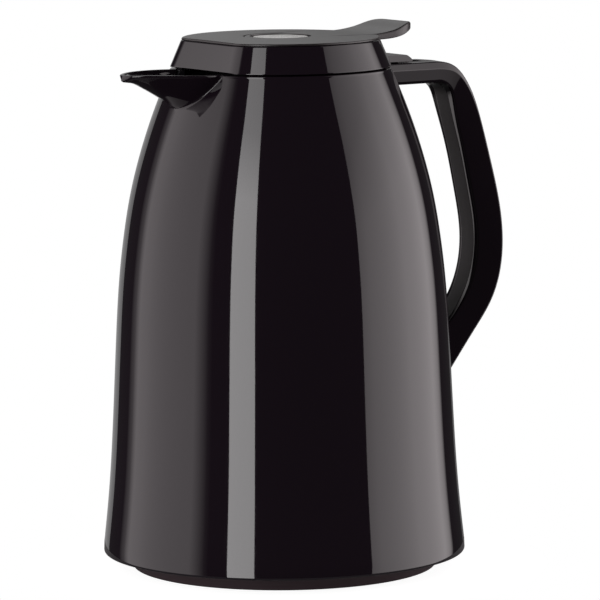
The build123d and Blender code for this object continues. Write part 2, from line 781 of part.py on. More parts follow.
def grip_band(near, far, start, end):
    """Closed face between two shifted copies of the grip's inner outline, from start to end."""
    first = handle_line(near).trim(start, end)
    second = handle_line(far).trim(start, end)
    return Face(Wire([first, Line(first @ 1, second @ 1), second, Line(second @ 0, first @ 0)]))


def side_rims(solid, outer):
    """Long edges of the handle's two sides: the outer ones, or those round the finger gap."""
    rims = []
    for edge in solid.edges():
        box = edge.bounding_box()
        on_side = abs(abs(edge.center().Y) - handle_half_width) < 0.01
        if on_side and box.size.X > arm_depth and (box.max.Z > tongue_z) == outer:
            rims.append(edge)
    return rims


def handle_shell():
    """Handle moulding: solid arm and root, and a grip hollowed from its inner face."""
    top_z = body_top_z - handle_drop
    outer = bend(handle_points(handle_outer), (1, 0), (-0.7, -0.72))
    inner = grip_line()
    root_x = body_mouth_radius * 0.8
    arm_z = (inner @ 0).Y
    side = Face(Wire([
        Line((root_x, top_z), outer @ 0), outer, Line(outer @ 1, inner @ 1), inner,
        Line(inner @ 0, (root_x, arm_z)), Line((root_x, arm_z), (root_x, top_z)),
    ]))
    solid = slab(side, handle_half_width)
    solid = fillet(side_rims(solid, True), handle_outer_round)
    solid = fillet(side_rims(solid, False), handle_inner_round)
    solid -= slab(grip_band(-2, cover_thickness + cover_recess, cover_start, cover_end),
                  cover_half_width + cover_fit)
    solid -= slab(grip_band(0, grip_depth - handle_back_wall, cover_start + 0.02, cover_end - 0.02),
                  cover_half_width - cover_ledge)
    solid -= body_form(-handle_fit, 0, body_top_z + 9)
    tongue = block(root_x, body_mouth_radius + 8, -tongue_half_width, tongue_half_width,
                   tongue_z - tongue_height / 2, tongue_z + tongue_height / 2)
    solid += tongue - body_form(shell_wall, 0, body_top_z + 9)
    half = hinge_hub_half_width + hinge_side_gap
    reach = hinge_hub_radius + hinge_side_gap
    solid -= cross_rod(hinge_x, hinge_z, reach, -half, half)
    solid -= block(hinge_pocket_x, hinge_x + reach, -half, half, hinge_z - hinge_side_gap, body_top_z + 9)
    solid -= block(hinge_pocket_x, hinge_x, -half, half, hinge_pocket_z, body_top_z + 9)
    solid -= cross_rod(hinge_x, hinge_z, hinge_pin_radius + hinge_press_gap,
                       -handle_half_width + hinge_pin_start - 0.1, handle_half_width + 1)
    for sign in (-1, 1):
        y = sign * handle_screw_spacing / 2
        solid -= radial_rod(y, handle_screw_z, handle_screw_radius, flask_radius, screw_tip_x())
    return solid


def screw_seat_x():
    """Where the outer corner of a screw's head meets the shell's inner wall."""
    return math.sqrt(body_radius_at(handle_screw_z, shell_wall) ** 2
                     - (handle_screw_spacing / 2 + screw_head_radius) ** 2)


def screw_tip_x():
    return screw_seat_x() - 0.1 + handle_screw_length


def handle_screws():
    screws = []
    seat = screw_seat_x() - 0.1
    for sign in (-1, 1):
        y = sign * handle_screw_spacing / 2
        head = radial_rod(y, handle_screw_z, screw_head_radius, seat - screw_head_height - 0.1, seat - 0.1)
        head -= radial_rod(y, handle_screw_z, screw_head_radius * 0.4, seat - screw_head_height - 1,
                           seat - screw_head_height + 1)
        screws.append(head + radial_rod(y, handle_screw_z, handle_screw_radius, seat - 0.2, screw_tip_x()))
    return screws


def handle_cover():
    """Inlay that closes the hollow grip on its inner face."""
    band = grip_band(cover_recess, cover_recess + cover_thickness - 0.02, cover_start + 0.003,
                     cover_end - 0.003)
    return slab(band, cover_half_width)


def hinge_leaf():
    """Lid half of the hinge: a tongue in the lid, a leaf on the arm and a hub sunk in the arm."""
    low_z = body_top_z - handle_drop + leaf_lift
    neck_x = leaf_neck_x()
    inner_x = lid_radius_at(leaf_tongue_top_z) - lid_wall - leaf_tongue_gap
    corner_x = inner_x - leaf_tongue_corner
    round_x = leaf_tail_x - leaf_tail_round
    bulge = (leaf_tail_x - leaf_tail_bulge[0], leaf_top_z - leaf_tail_bulge[1])
    step_x = body_mouth_radius + leaf_step_out
    step_z = body_top_z + leaf_lift
    seat_z = carrier_top_z + leaf_seat_gap
    side = Face(Wire([
        Line((neck_x, step_z), (neck_x, seat_z)), Line((neck_x, seat_z), (leaf_tongue_start, seat_z)),
        Line((leaf_tongue_start, seat_z), (leaf_tongue_start, leaf_tongue_top_z)),
        Line((leaf_tongue_start, leaf_tongue_top_z), (corner_x, leaf_tongue_top_z)),
        Line((corner_x, leaf_tongue_top_z), (inner_x, leaf_top_z)),
        Line((inner_x, leaf_top_z), (round_x, leaf_top_z)),
        ThreePointArc((round_x, leaf_top_z), bulge, (leaf_tail_x, low_z)),
        Line((leaf_tail_x, low_z), (step_x, low_z)), Line((step_x, low_z), (step_x, step_z)),
        Line((step_x, step_z), (neck_x, step_z)),
    ]))
    leaf = slab(side, leaf_half_width)
    web_x = hinge_pocket_x + web_gap
    web = make_face(Polyline(
        (web_x, low_z + 0.2), (leaf_tail_x - web_gap, low_z + 0.2),
        (hinge_x + hinge_hub_radius / 2, hinge_z + hinge_hub_radius / 2),
        (hinge_x, hinge_z - hinge_hub_radius / 2), (web_x, low_z - web_depth), close=True))
    leaf += slab(web, hinge_hub_half_width)
    leaf += cross_rod(hinge_x, hinge_z, hinge_hub_radius, -hinge_hub_half_width, hinge_hub_half_width)
    leaf -= cross_rod(hinge_x, hinge_z, hinge_pin_radius + running_gap, -20, 20)
    for sign in (-1, 1):
        leaf -= upright(leaf_screw_x, sign * leaf_screw_spacing / 2, leaf_screw_radius + screw_hole_gap,
                        carrier_top_z - 1, leaf_tongue_top_z + 1)
    return leaf


def hinge_pin():
    return cross_rod(hinge_x, hinge_z, hinge_pin_radius, -handle_half_width + hinge_pin_start,
                     handle_half_width - hinge_pin_sunk)


def leaf_screws():
    screws = []
    for sign in (-1, 1):
        y = sign * leaf_screw_spacing / 2
        head = upright(leaf_screw_x, y, leaf_screw_head_radius, leaf_tongue_top_z,
                       leaf_tongue_top_z + leaf_screw_head)
        screws.append(head + upright(leaf_screw_x, y, leaf_screw_radius, leaf_boss_z + 1,
                                     leaf_tongue_top_z + 0.1))
    return screws


def save(name, solids):
    """Write one node: a single solid, or a group of separate solids under one name."""
    if not isinstance(solids, list):
        solids = [solids]
    pieces = []
    for item in solids:
        pieces.extend(item.solids())
    shape = pieces[0] if len(pieces) == 1 else Compound(children=pieces)
    shape.label = name
    export_step(shape, os.path.join("parts", name + ".step"))
    print(name, len(pieces), round(sum(piece.volume for piece in pieces)))


def main():
    os.makedirs("parts", exist_ok=True)
    nodes = [
        ("body_shell", body_shell), ("base_cap", base_cap), ("base_seal", base_seal),
        ("glass_flask", glass_flask), ("flask_spacers", flask_spacers), ("liner_cushion", liner_cushion),
        ("neck_gasket", neck_gasket), ("pouring_collar", pouring_collar), ("handle_shell", handle_shell),
        ("handle_cover", handle_cover), ("handle_screws", handle_screws), ("hinge_pin", hinge_pin),
        ("lid_shell", lid_shell), ("lid_top", lid_top), ("lid_carrier", lid_carrier),
        ("lid_seal", lid_seal), ("hinge_leaf", hinge_leaf), ("leaf_screws", leaf_screws),
        ("lever_pin", lever_pin), ("lever", lever), ("badge", badge), ("valve_stem", valve_stem),
        ("valve_seal", valve_seal), ("stem_pin", stem_pin), ("valve_spring", valve_spring),
    ]
    for name, make in nodes:
        save(name, make())


main()
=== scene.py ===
"""Thermal carafe: visible skins, finishes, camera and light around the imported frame."""

import json
import logging
import math
from dataclasses import dataclass
from enum import Enum
from typing import Any, Optional, Sequence

import bmesh
import bpy
import numpy as np
from mathutils import Matrix, Vector


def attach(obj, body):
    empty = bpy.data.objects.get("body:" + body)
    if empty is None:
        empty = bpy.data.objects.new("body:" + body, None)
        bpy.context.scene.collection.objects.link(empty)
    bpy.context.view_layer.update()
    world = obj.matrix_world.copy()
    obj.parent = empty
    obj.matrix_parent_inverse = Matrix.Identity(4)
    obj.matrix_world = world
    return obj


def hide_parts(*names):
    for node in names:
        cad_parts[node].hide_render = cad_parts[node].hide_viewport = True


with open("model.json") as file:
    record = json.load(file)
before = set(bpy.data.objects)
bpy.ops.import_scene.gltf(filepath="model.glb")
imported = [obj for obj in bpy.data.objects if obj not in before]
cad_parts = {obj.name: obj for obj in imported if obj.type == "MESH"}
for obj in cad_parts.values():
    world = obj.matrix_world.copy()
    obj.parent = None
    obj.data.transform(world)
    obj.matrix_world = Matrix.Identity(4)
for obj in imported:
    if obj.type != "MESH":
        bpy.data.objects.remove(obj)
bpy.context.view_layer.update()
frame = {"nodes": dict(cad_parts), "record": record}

Array = np.ndarray
Corner = tuple[float, float, float]
LOG = logging.getLogger("carafe")
MM = 0.001
BLOTCH_GRAINS = 40


class Body(Enum):
    """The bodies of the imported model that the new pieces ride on."""

    CARAFE = "carafe"
    LID = "lid"
    LEVER = "lever"


class Pattern(Enum):
    """How a surface was made, which decides its relief."""

    POLISHED = "polished mould"
    SPARKED = "spark-eroded mould"
    TURNED = "turned on a lathe"
    DRAWN = "drawn or ground along its length"
    PRESSED = "pressed fibre or cast rubber"
    BLOWN = "blown and silvered glass"


def linear(code: str) -> tuple[float, float, float, float]:
    """Turn an sRGB hex colour into linear values.

    Args:
        code: Colour as six hex digits after a hash sign.

    Returns:
        Red, green, blue and an alpha of 1.
    """
    parts = [int(code[at:at + 2], 16) / 255 for at in (1, 3, 5)]
    red, green, blue = (
        part / 12.92 if part <= 0.04045 else ((part + 0.055) / 1.055) ** 2.4 for part in parts)
    return red, green, blue, 1.0


def add(tree: bpy.types.NodeTree, kind: str, links: Optional[dict[Any, Any]] = None,
        values: Optional[dict[Any, Any]] = None, **settings: Any) -> bpy.types.Node:
    """Add a node with its settings, socket values and incoming links.

    Args:
        tree: Node tree that gets the node.
        kind: Blender's name of the node type.
        links: Output sockets by the input that they feed.
        values: Values by input.
        settings: Properties of the node itself.

    Returns:
        The new node.
    """
    node = tree.nodes.new(kind)
    for key, value in settings.items():
        setattr(node, key, value)
    for key, value in (values or {}).items():
        node.inputs[key].default_value = value
    for key, source in (links or {}).items():
        tree.links.new(source, node.inputs[key])
    return node


def bare_tree(owner: Any) -> bpy.types.NodeTree:
    """Turn on the nodes of a material, lamp or world and clear them.

    Args:
        owner: The material, lamp or world.

    Returns:
        Its empty node tree.
    """
    owner.use_nodes = True
    owner.node_tree.nodes.clear()
    return owner.node_tree


def put(name: str, data: Any) -> bpy.types.Object:
    """Make an object and link it to the scene.

    Args:
        name: Name of the object.
        data: Its mesh, lamp or camera.

    Returns:
        The new object.
    """
    made = bpy.data.objects.new(name, data)
    bpy.context.scene.collection.objects.link(made)
    return made


@dataclass(frozen=True)
class Finish:
    """One real material with the way its surface was made.

    A real moulded grain is about 0.1 mm. Here it is drawn at 0.4 to 0.8 mm, because one pixel of the
    render covers 0.4 mm, and a finer grain wouldn't show.
    """

    name: str
    slot: str
    pattern: Pattern
    colour: str
    shade: str
    roughness: float
    roughness_spread: float
    grain_mm: float
    relief_mm: float
    metallic: float = 0.0
    ior: float = 1.5

    def material(self) -> bpy.types.Material:
        """Make the node material once.

        Returns:
            The new material, or the one that was made before.
        """
        made = bpy.data.materials.get(self.name)
        if made:
            return made
        made = bpy.data.materials.new(self.name)
        tree = bare_tree(made)
        place = add(tree, "ShaderNodeTexCoord").outputs["Object"]
        relief = self._relief(tree, place)
        blotch = add(tree, "ShaderNodeTexNoise", {"Vector": place},
                     {"Scale": 1 / (self.grain_mm * BLOTCH_GRAINS * MM), "Detail": 3.0, "Roughness": 0.55})
        tone = add(tree, "ShaderNodeMix", {"Factor": blotch.outputs["Fac"]}, data_type="RGBA")
        tone.inputs[6].default_value = linear(self.colour)
        tone.inputs[7].default_value = linear(self.shade)
        rough = add(tree, "ShaderNodeMapRange", {"Value": relief}, {
            "From Min": 0.25, "From Max": 0.75,
            "To Min": self.roughness - self.roughness_spread,
            "To Max": self.roughness + self.roughness_spread})
        bump = add(tree, "ShaderNodeBump", {"Height": relief},
                   {"Strength": 1.0, "Distance": self.relief_mm * MM})
        shader = add(tree, "ShaderNodeBsdfPrincipled",
                     {"Base Color": tone.outputs[2], "Normal": bump.outputs["Normal"]},
                     {"Metallic": self.metallic, "IOR": self.ior})
        tree.links.new(rough.outputs["Result"], shader.inputs["Roughness"])
        add(tree, "ShaderNodeOutputMaterial", {"Surface": shader.outputs["BSDF"]})
        return made

    def _relief(self, tree: bpy.types.NodeTree,
                place: bpy.types.NodeSocket) -> bpy.types.NodeSocket:
        """Add the height pattern of the surface.

        Args:
            tree: Node tree of the material.
            place: Object coordinates in metres.

        Returns:
            Socket with a height from about 0 to 1.
        """
        scale = 1 / (self.grain_mm * MM)
        if self.pattern is Pattern.TURNED:
            parts = add(tree, "ShaderNodeSeparateXYZ", {"Vector": place}).outputs
            flat = add(tree, "ShaderNodeCombineXYZ", {"X": parts["X"], "Y": parts["Y"]})
            radius = add(tree, "ShaderNodeVectorMath", {0: flat.outputs[0]}, operation="LENGTH")
            return add(tree, "ShaderNodeTexNoise", {"W": radius.outputs["Value"]},
                       {"Scale": scale, "Detail": 2.0}, noise_dimensions="1D").outputs["Fac"]
        if self.pattern is Pattern.DRAWN:
            stretch = add(tree, "ShaderNodeMapping", {"Vector": place}, {"Scale": (1.0, 0.04, 1.0)})
            place = stretch.outputs["Vector"]
        detail = 6.0 if self.pattern in (Pattern.SPARKED, Pattern.PRESSED) else 1.0
        return add(tree, "ShaderNodeTexNoise", {"Vector": place},
                   {"Scale": scale, "Detail": detail, "Roughness": 0.5}).outputs["Fac"]


# Gloss-moulded ABS: a polished tool leaves a mirror skin that wanders very slightly over centimetres.
GLOSS_ABS = Finish("abs_gloss_moulded", "gloss_shell", Pattern.POLISHED, "#150E15", "#181117",
                   0.035, 0.008, 14.0, 0.006)
# Satin ABS of the lid: the tool is lightly spark-eroded, so the top glows softly under the light.
SATIN_ABS = Finish("abs_satin_moulded", "lid_satin", Pattern.SPARKED, "#1B1618", "#1F1A1B",
                   0.34, 0.03, 0.45, 0.012)
# Inlay of the grip: ABS from a spark-eroded tool, dull, so it stays dark between the glossy rims.
INLAY_ABS = Finish("abs_inlay_moulded", "handle_inlay", Pattern.SPARKED, "#161012", "#1B1517",
                   0.48, 0.04, 0.4, 0.012)
# Base: polypropylene from a coarser tool, a dull dark brown with a fine grain.
BASE_PP = Finish("polypropylene_grained", "base_plastic", Pattern.SPARKED, "#43363A", "#4C3E43",
                 0.42, 0.05, 0.5, 0.03)
# Collar and carrier: black food-grade polypropylene with a soft sheen.
FOOD_PP = Finish("polypropylene_satin", "collar_plastic", Pattern.SPARKED, "#0F0D11", "#131115",
                 0.42, 0.04, 0.6, 0.02)
# Valve stem: acetal, slicker and a little paler than the carrier round it.
ACETAL = Finish("acetal_moulded", "valve_plastic", Pattern.SPARKED, "#26262A", "#2C2C30",
                0.30, 0.03, 0.6, 0.01, ior=1.48)
# Silicone seals: dark grey cast silicone, soft sheen, with dust-fine mottling.
SILICONE = Finish("silicone_cast", "silicone", Pattern.PRESSED, "#323136", "#3B3A3F",
                  0.45, 0.05, 0.8, 0.01, ior=1.41)
# Rubber cushion and base ring: matt black with a powdery surface.
RUBBER = Finish("rubber_cast", "black_rubber", Pattern.PRESSED, "#151515", "#1B1B1B",
                0.7, 0.06, 0.7, 0.02, ior=1.52)
# Vacuum flask: silvered glass, seen as a mirror with slow ripples from the blowing.
SILVERED = Finish("glass_silvered", "silvered_glass", Pattern.BLOWN, "#D5D6DA", "#E0E0E2",
                  0.04, 0.015, 16.0, 0.02, metallic=1.0)
# Spacer pads: pressed mineral fibre, pale and dry.
FIBRE = Finish("mineral_fibre_pressed", "spacer_fibre", Pattern.PRESSED, "#A79F8F", "#B9B1A2",
               0.9, 0.05, 0.4, 0.05)
# Pins, screws and spring: drawn stainless steel with fine lines along the wire.
STEEL = Finish("stainless_steel_drawn", "steel", Pattern.DRAWN, "#B9B8B5", "#C6C5C2",
               0.26, 0.06, 0.08, 0.004, metallic=1.0)
# Lid plate: aluminium turned on a lathe, bright with hair-fine rings.
ALUMINIUM = Finish("aluminium_turned", "badge_metal", Pattern.TURNED, "#E9E8E5", "#F0EFEC",
                   0.27, 0.06, 0.22, 0.006, metallic=1.0)
FINISHES = {finish.slot: finish for finish in (
    GLOSS_ABS, SATIN_ABS, INLAY_ABS, BASE_PP, FOOD_PP, ACETAL, SILICONE, RUBBER, SILVERED, FIBRE,
    STEEL, ALUMINIUM)}


class SmoothCurve:
    """Natural cubic spline through (place, value) knots."""

    def __init__(self, knots: Sequence[tuple[float, float]]) -> None:
        """Solve the spline's second derivatives.

        Args:
            knots: Places in rising order, with their values.
        """
        self.place, self.value = (np.array(column, dtype=float) for column in zip(*knots))
        count = len(self.place)
        step = np.diff(self.place)
        rise = np.diff(self.value) / step
        system = np.eye(count)
        target = np.zeros(count)
        for i in range(1, count - 1):
            system[i, i - 1:i + 2] = step[i - 1], 2 * (step[i - 1] + step[i]), step[i]
            target[i] = 6 * (rise[i] - rise[i - 1])
        self.bend = np.linalg.solve(system, target)

    def __call__(self, place: Any) -> Array:
        """Give the curve's values.

        Args:
            place: Places, which are kept within the knots.

        Returns:
            Values, with the shape of place.
        """
        place = np.clip(np.asarray(place, dtype=float), self.place[0], self.place[-1])
        low = np.clip(np.searchsorted(self.place, place) - 1, 0, len(self.place) - 2)
        step = self.place[low + 1] - self.place[low]
        near = (self.place[low + 1] - place) / step
        far = 1 - near
        curve = (near ** 3 - near) * self.bend[low] + (far ** 3 - far) * self.bend[low + 1]
        return near * self.value[low] + far * self.value[low + 1] + curve * step ** 2 / 6


class Track:
    """Smooth line in a plane through points, measured by its length."""

    def __init__(self, points: Sequence[tuple[float, float]], start: int) -> None:
        """Fit the line.

        Args:
            points: Points (across, up) in order.
            start: Index of the point where the measured part begins.
        """
        steps = [0.0]
        for first, second in zip(points[:-1], points[1:]):
            steps.append(steps[-1] + math.dist(first, second))
        across, up = (SmoothCurve(list(zip(steps, values))) for values in zip(*points))
        fine = np.linspace(steps[start], steps[-1], 600)
        self.spots = columns(across(fine), up(fine))
        length = np.cumsum(np.linalg.norm(np.diff(self.spots, axis=0), axis=1))
        self.share = np.concatenate([[0], length / length[-1]])

    def at(self, share: Array) -> Array:
        """Give the points (across, up) at these shares of the measured length."""
        return columns(*(np.interp(share, self.share, self.spots[:, axis]) for axis in (0, 1)))


def columns(*parts: Any) -> Array:
    """Set coordinates side by side as points, with single numbers repeated."""
    return np.stack(np.broadcast_arrays(*parts), axis=-1)


def arc(start: float, end: float, count: int) -> Array:
    """Points (count, 2) on the unit circle between two angles in degrees."""
    angle = np.radians(np.linspace(start, end, count))
    return columns(np.cos(angle), np.sin(angle))


def from_spout(angle: Any, radius: Array, height: Array) -> Array:
    """Points at an angle from the spout's direction, with their distance from the axis and height."""
    return columns(-radius * np.cos(angle), radius * np.sin(angle), height)


def smooth_max(first: Array, second: Array, blend: float) -> Array:
    """Larger of two values, with a soft change over blend, which rounds an inner corner."""
    near = np.maximum(blend - np.abs(first - second), 0)
    return np.maximum(first, second) + near ** 2 / (4 * blend)


def rounded(corners: Sequence[Corner], steps: int = 6, closed: bool = True) -> Array:
    """Round the corners of an outline and put a support point beside each round.

    Args:
        corners: (across, up, radius) of each corner.
        steps: Stretches in each round.
        closed: True for a closed outline, False for a line with two ends.

    Returns:
        Points (n, 2).
    """
    places = np.array([corner[:2] for corner in corners], dtype=float)
    count = len(corners)
    points = []
    for index, (across, up, radius) in enumerate(corners):
        here = places[index]
        if radius <= 0 or (not closed and index in (0, count - 1)):
            points.append(here)
            continue
        before = places[index - 1] - here
        after = places[(index + 1) % count] - here
        far = [np.linalg.norm(before), np.linalg.norm(after)]
        before, after = before / far[0], after / far[1]
        half = math.acos(float(np.clip(before @ after, -1, 1))) / 2
        reach = min(radius / math.tan(half), 0.45 * far[0], 0.45 * far[1])
        centre = here + (before + after) / np.linalg.norm(before + after) * reach / math.cos(half)
        first, last = here + before * reach - centre, here + after * reach - centre
        aside = np.array([-first[1], first[0]])
        turn = math.atan2(float(aside @ last), float(first @ last))
        points.append(here + before * (reach + min(0.25 * reach, 0.1 * far[0])))
        for angle in np.linspace(0, turn, steps + 1):
            points.append(centre + first * math.cos(angle) + aside * math.sin(angle))
        points.append(here + after * (reach + min(0.25 * reach, 0.1 * far[1])))
    return np.array(points)


def turned(outline: Array, count: int) -> Array:
    """Turn an outline (radius, height) about the body's axis.

    Args:
        outline: Points (m, 2) in millimetres.
        count: Sections round the axis.

    Returns:
        Grid (count, m, 3) in millimetres.
    """
    angle = np.linspace(0, 2 * math.pi, count, endpoint=False)[:, None]
    return columns(outline[:, 0] * np.cos(angle), outline[:, 0] * np.sin(angle), outline[:, 1])


class Skin:
    """Collects grids of points in millimetres and makes one mesh piece from them."""

    def __init__(self, name: str) -> None:
        """Start an empty skin under the piece's name."""
        self.name = name
        self.points: list[Array] = []
        self.faces: list[tuple[int, ...]] = []
        self.count = 0

    def grid(self, sections: Sequence[Array], around: bool = True, closed: bool = True) -> "Skin":
        """Add a grid of sections.

        Args:
            sections: Points (m, 3) of each section.
            around: True where the last section meets the first; otherwise closed ends are capped.
            closed: True where each section is a closed outline.

        Returns:
            The skin itself.
        """
        points = np.asarray(sections)
        index = np.arange(points[..., 0].size).reshape(points.shape[:2]) + self.count
        if around:
            index = np.vstack([index, index[:1]])
        if closed:
            index = np.hstack([index, index[:, :1]])
        quads = np.stack([index[:-1, :-1], index[1:, :-1], index[1:, 1:], index[:-1, 1:]], axis=-1)
        self.faces.extend(map(tuple, quads.reshape(-1, 4).tolist()))
        if closed and not around:
            self.faces.append(tuple(index[0, :-1].tolist()))
            self.faces.append(tuple(index[-1, :-1][::-1].tolist()))
        self.points.append(points.reshape(-1, 3))
        self.count += len(self.points[-1])
        return self

    def slab(self, outline: Array, low: float, high: float) -> "Skin":
        """Add a plate with this side outline (x, z), from y low to y high."""
        return self.grid([columns(outline[:, 0], y, outline[:, 1]) for y in (low, high)], around=False)

    def mesh(self) -> bpy.types.Mesh:
        """Make one clean mesh from the grids.

        Returns:
            The mesh, in metres.
        """
        mesh = bpy.data.meshes.new(self.name)
        mesh.from_pydata((np.vstack(self.points) * MM).tolist(), [], self.faces)
        shape = bmesh.new()
        shape.from_mesh(mesh)
        bmesh.ops.remove_doubles(shape, verts=shape.verts, dist=1e-6)
        bmesh.ops.dissolve_degenerate(shape, dist=1e-7, edges=shape.edges)
        bmesh.ops.recalc_face_normals(shape, faces=shape.faces)
        shape.to_mesh(mesh)
        shape.free()
        return mesh

    def piece(self, finish: Finish, body: Body, node: str, sharp: float = 40.0) -> bpy.types.Object:
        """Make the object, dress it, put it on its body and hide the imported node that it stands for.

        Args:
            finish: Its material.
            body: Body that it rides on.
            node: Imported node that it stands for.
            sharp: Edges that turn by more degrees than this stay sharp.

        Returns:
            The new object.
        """
        made = put(self.name, self.mesh())
        smooth(made, sharp)
        made.data.materials.append(finish.material())
        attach(made, body.value)
        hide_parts(node)
        LOG.info("%s rides on %s, %d faces", self.name, body.value, len(made.data.polygons))
        return made


def smooth(made: bpy.types.Object, sharp: float) -> None:
    """Shade a mesh smooth, apart from edges that turn by more than sharp degrees."""
    made.data.polygons.foreach_set("use_smooth", [True] * len(made.data.polygons))
    made.data.set_sharp_from_angle(angle=math.radians(sharp))


def carve(made: bpy.types.Object, cutter: Skin, sharp: float) -> None:
    """Cut a closed skin out of a piece and keep the result as its mesh.

    Args:
        made: Piece to cut.
        cutter: Closed skin to take away.
        sharp: Edges that turn by more degrees than this stay sharp.
    """
    tool = put(cutter.name, cutter.mesh())
    cut = made.modifiers.new("cut", "BOOLEAN")
    cut.object, cut.operation, cut.solver = tool, "DIFFERENCE", "EXACT"
    graph = bpy.context.evaluated_depsgraph_get()
    result = bpy.data.meshes.new_from_object(made.evaluated_get(graph), depsgraph=graph)
    made.modifiers.clear()
    made.data = result
    bpy.data.objects.remove(tool)
    smooth(made, sharp)


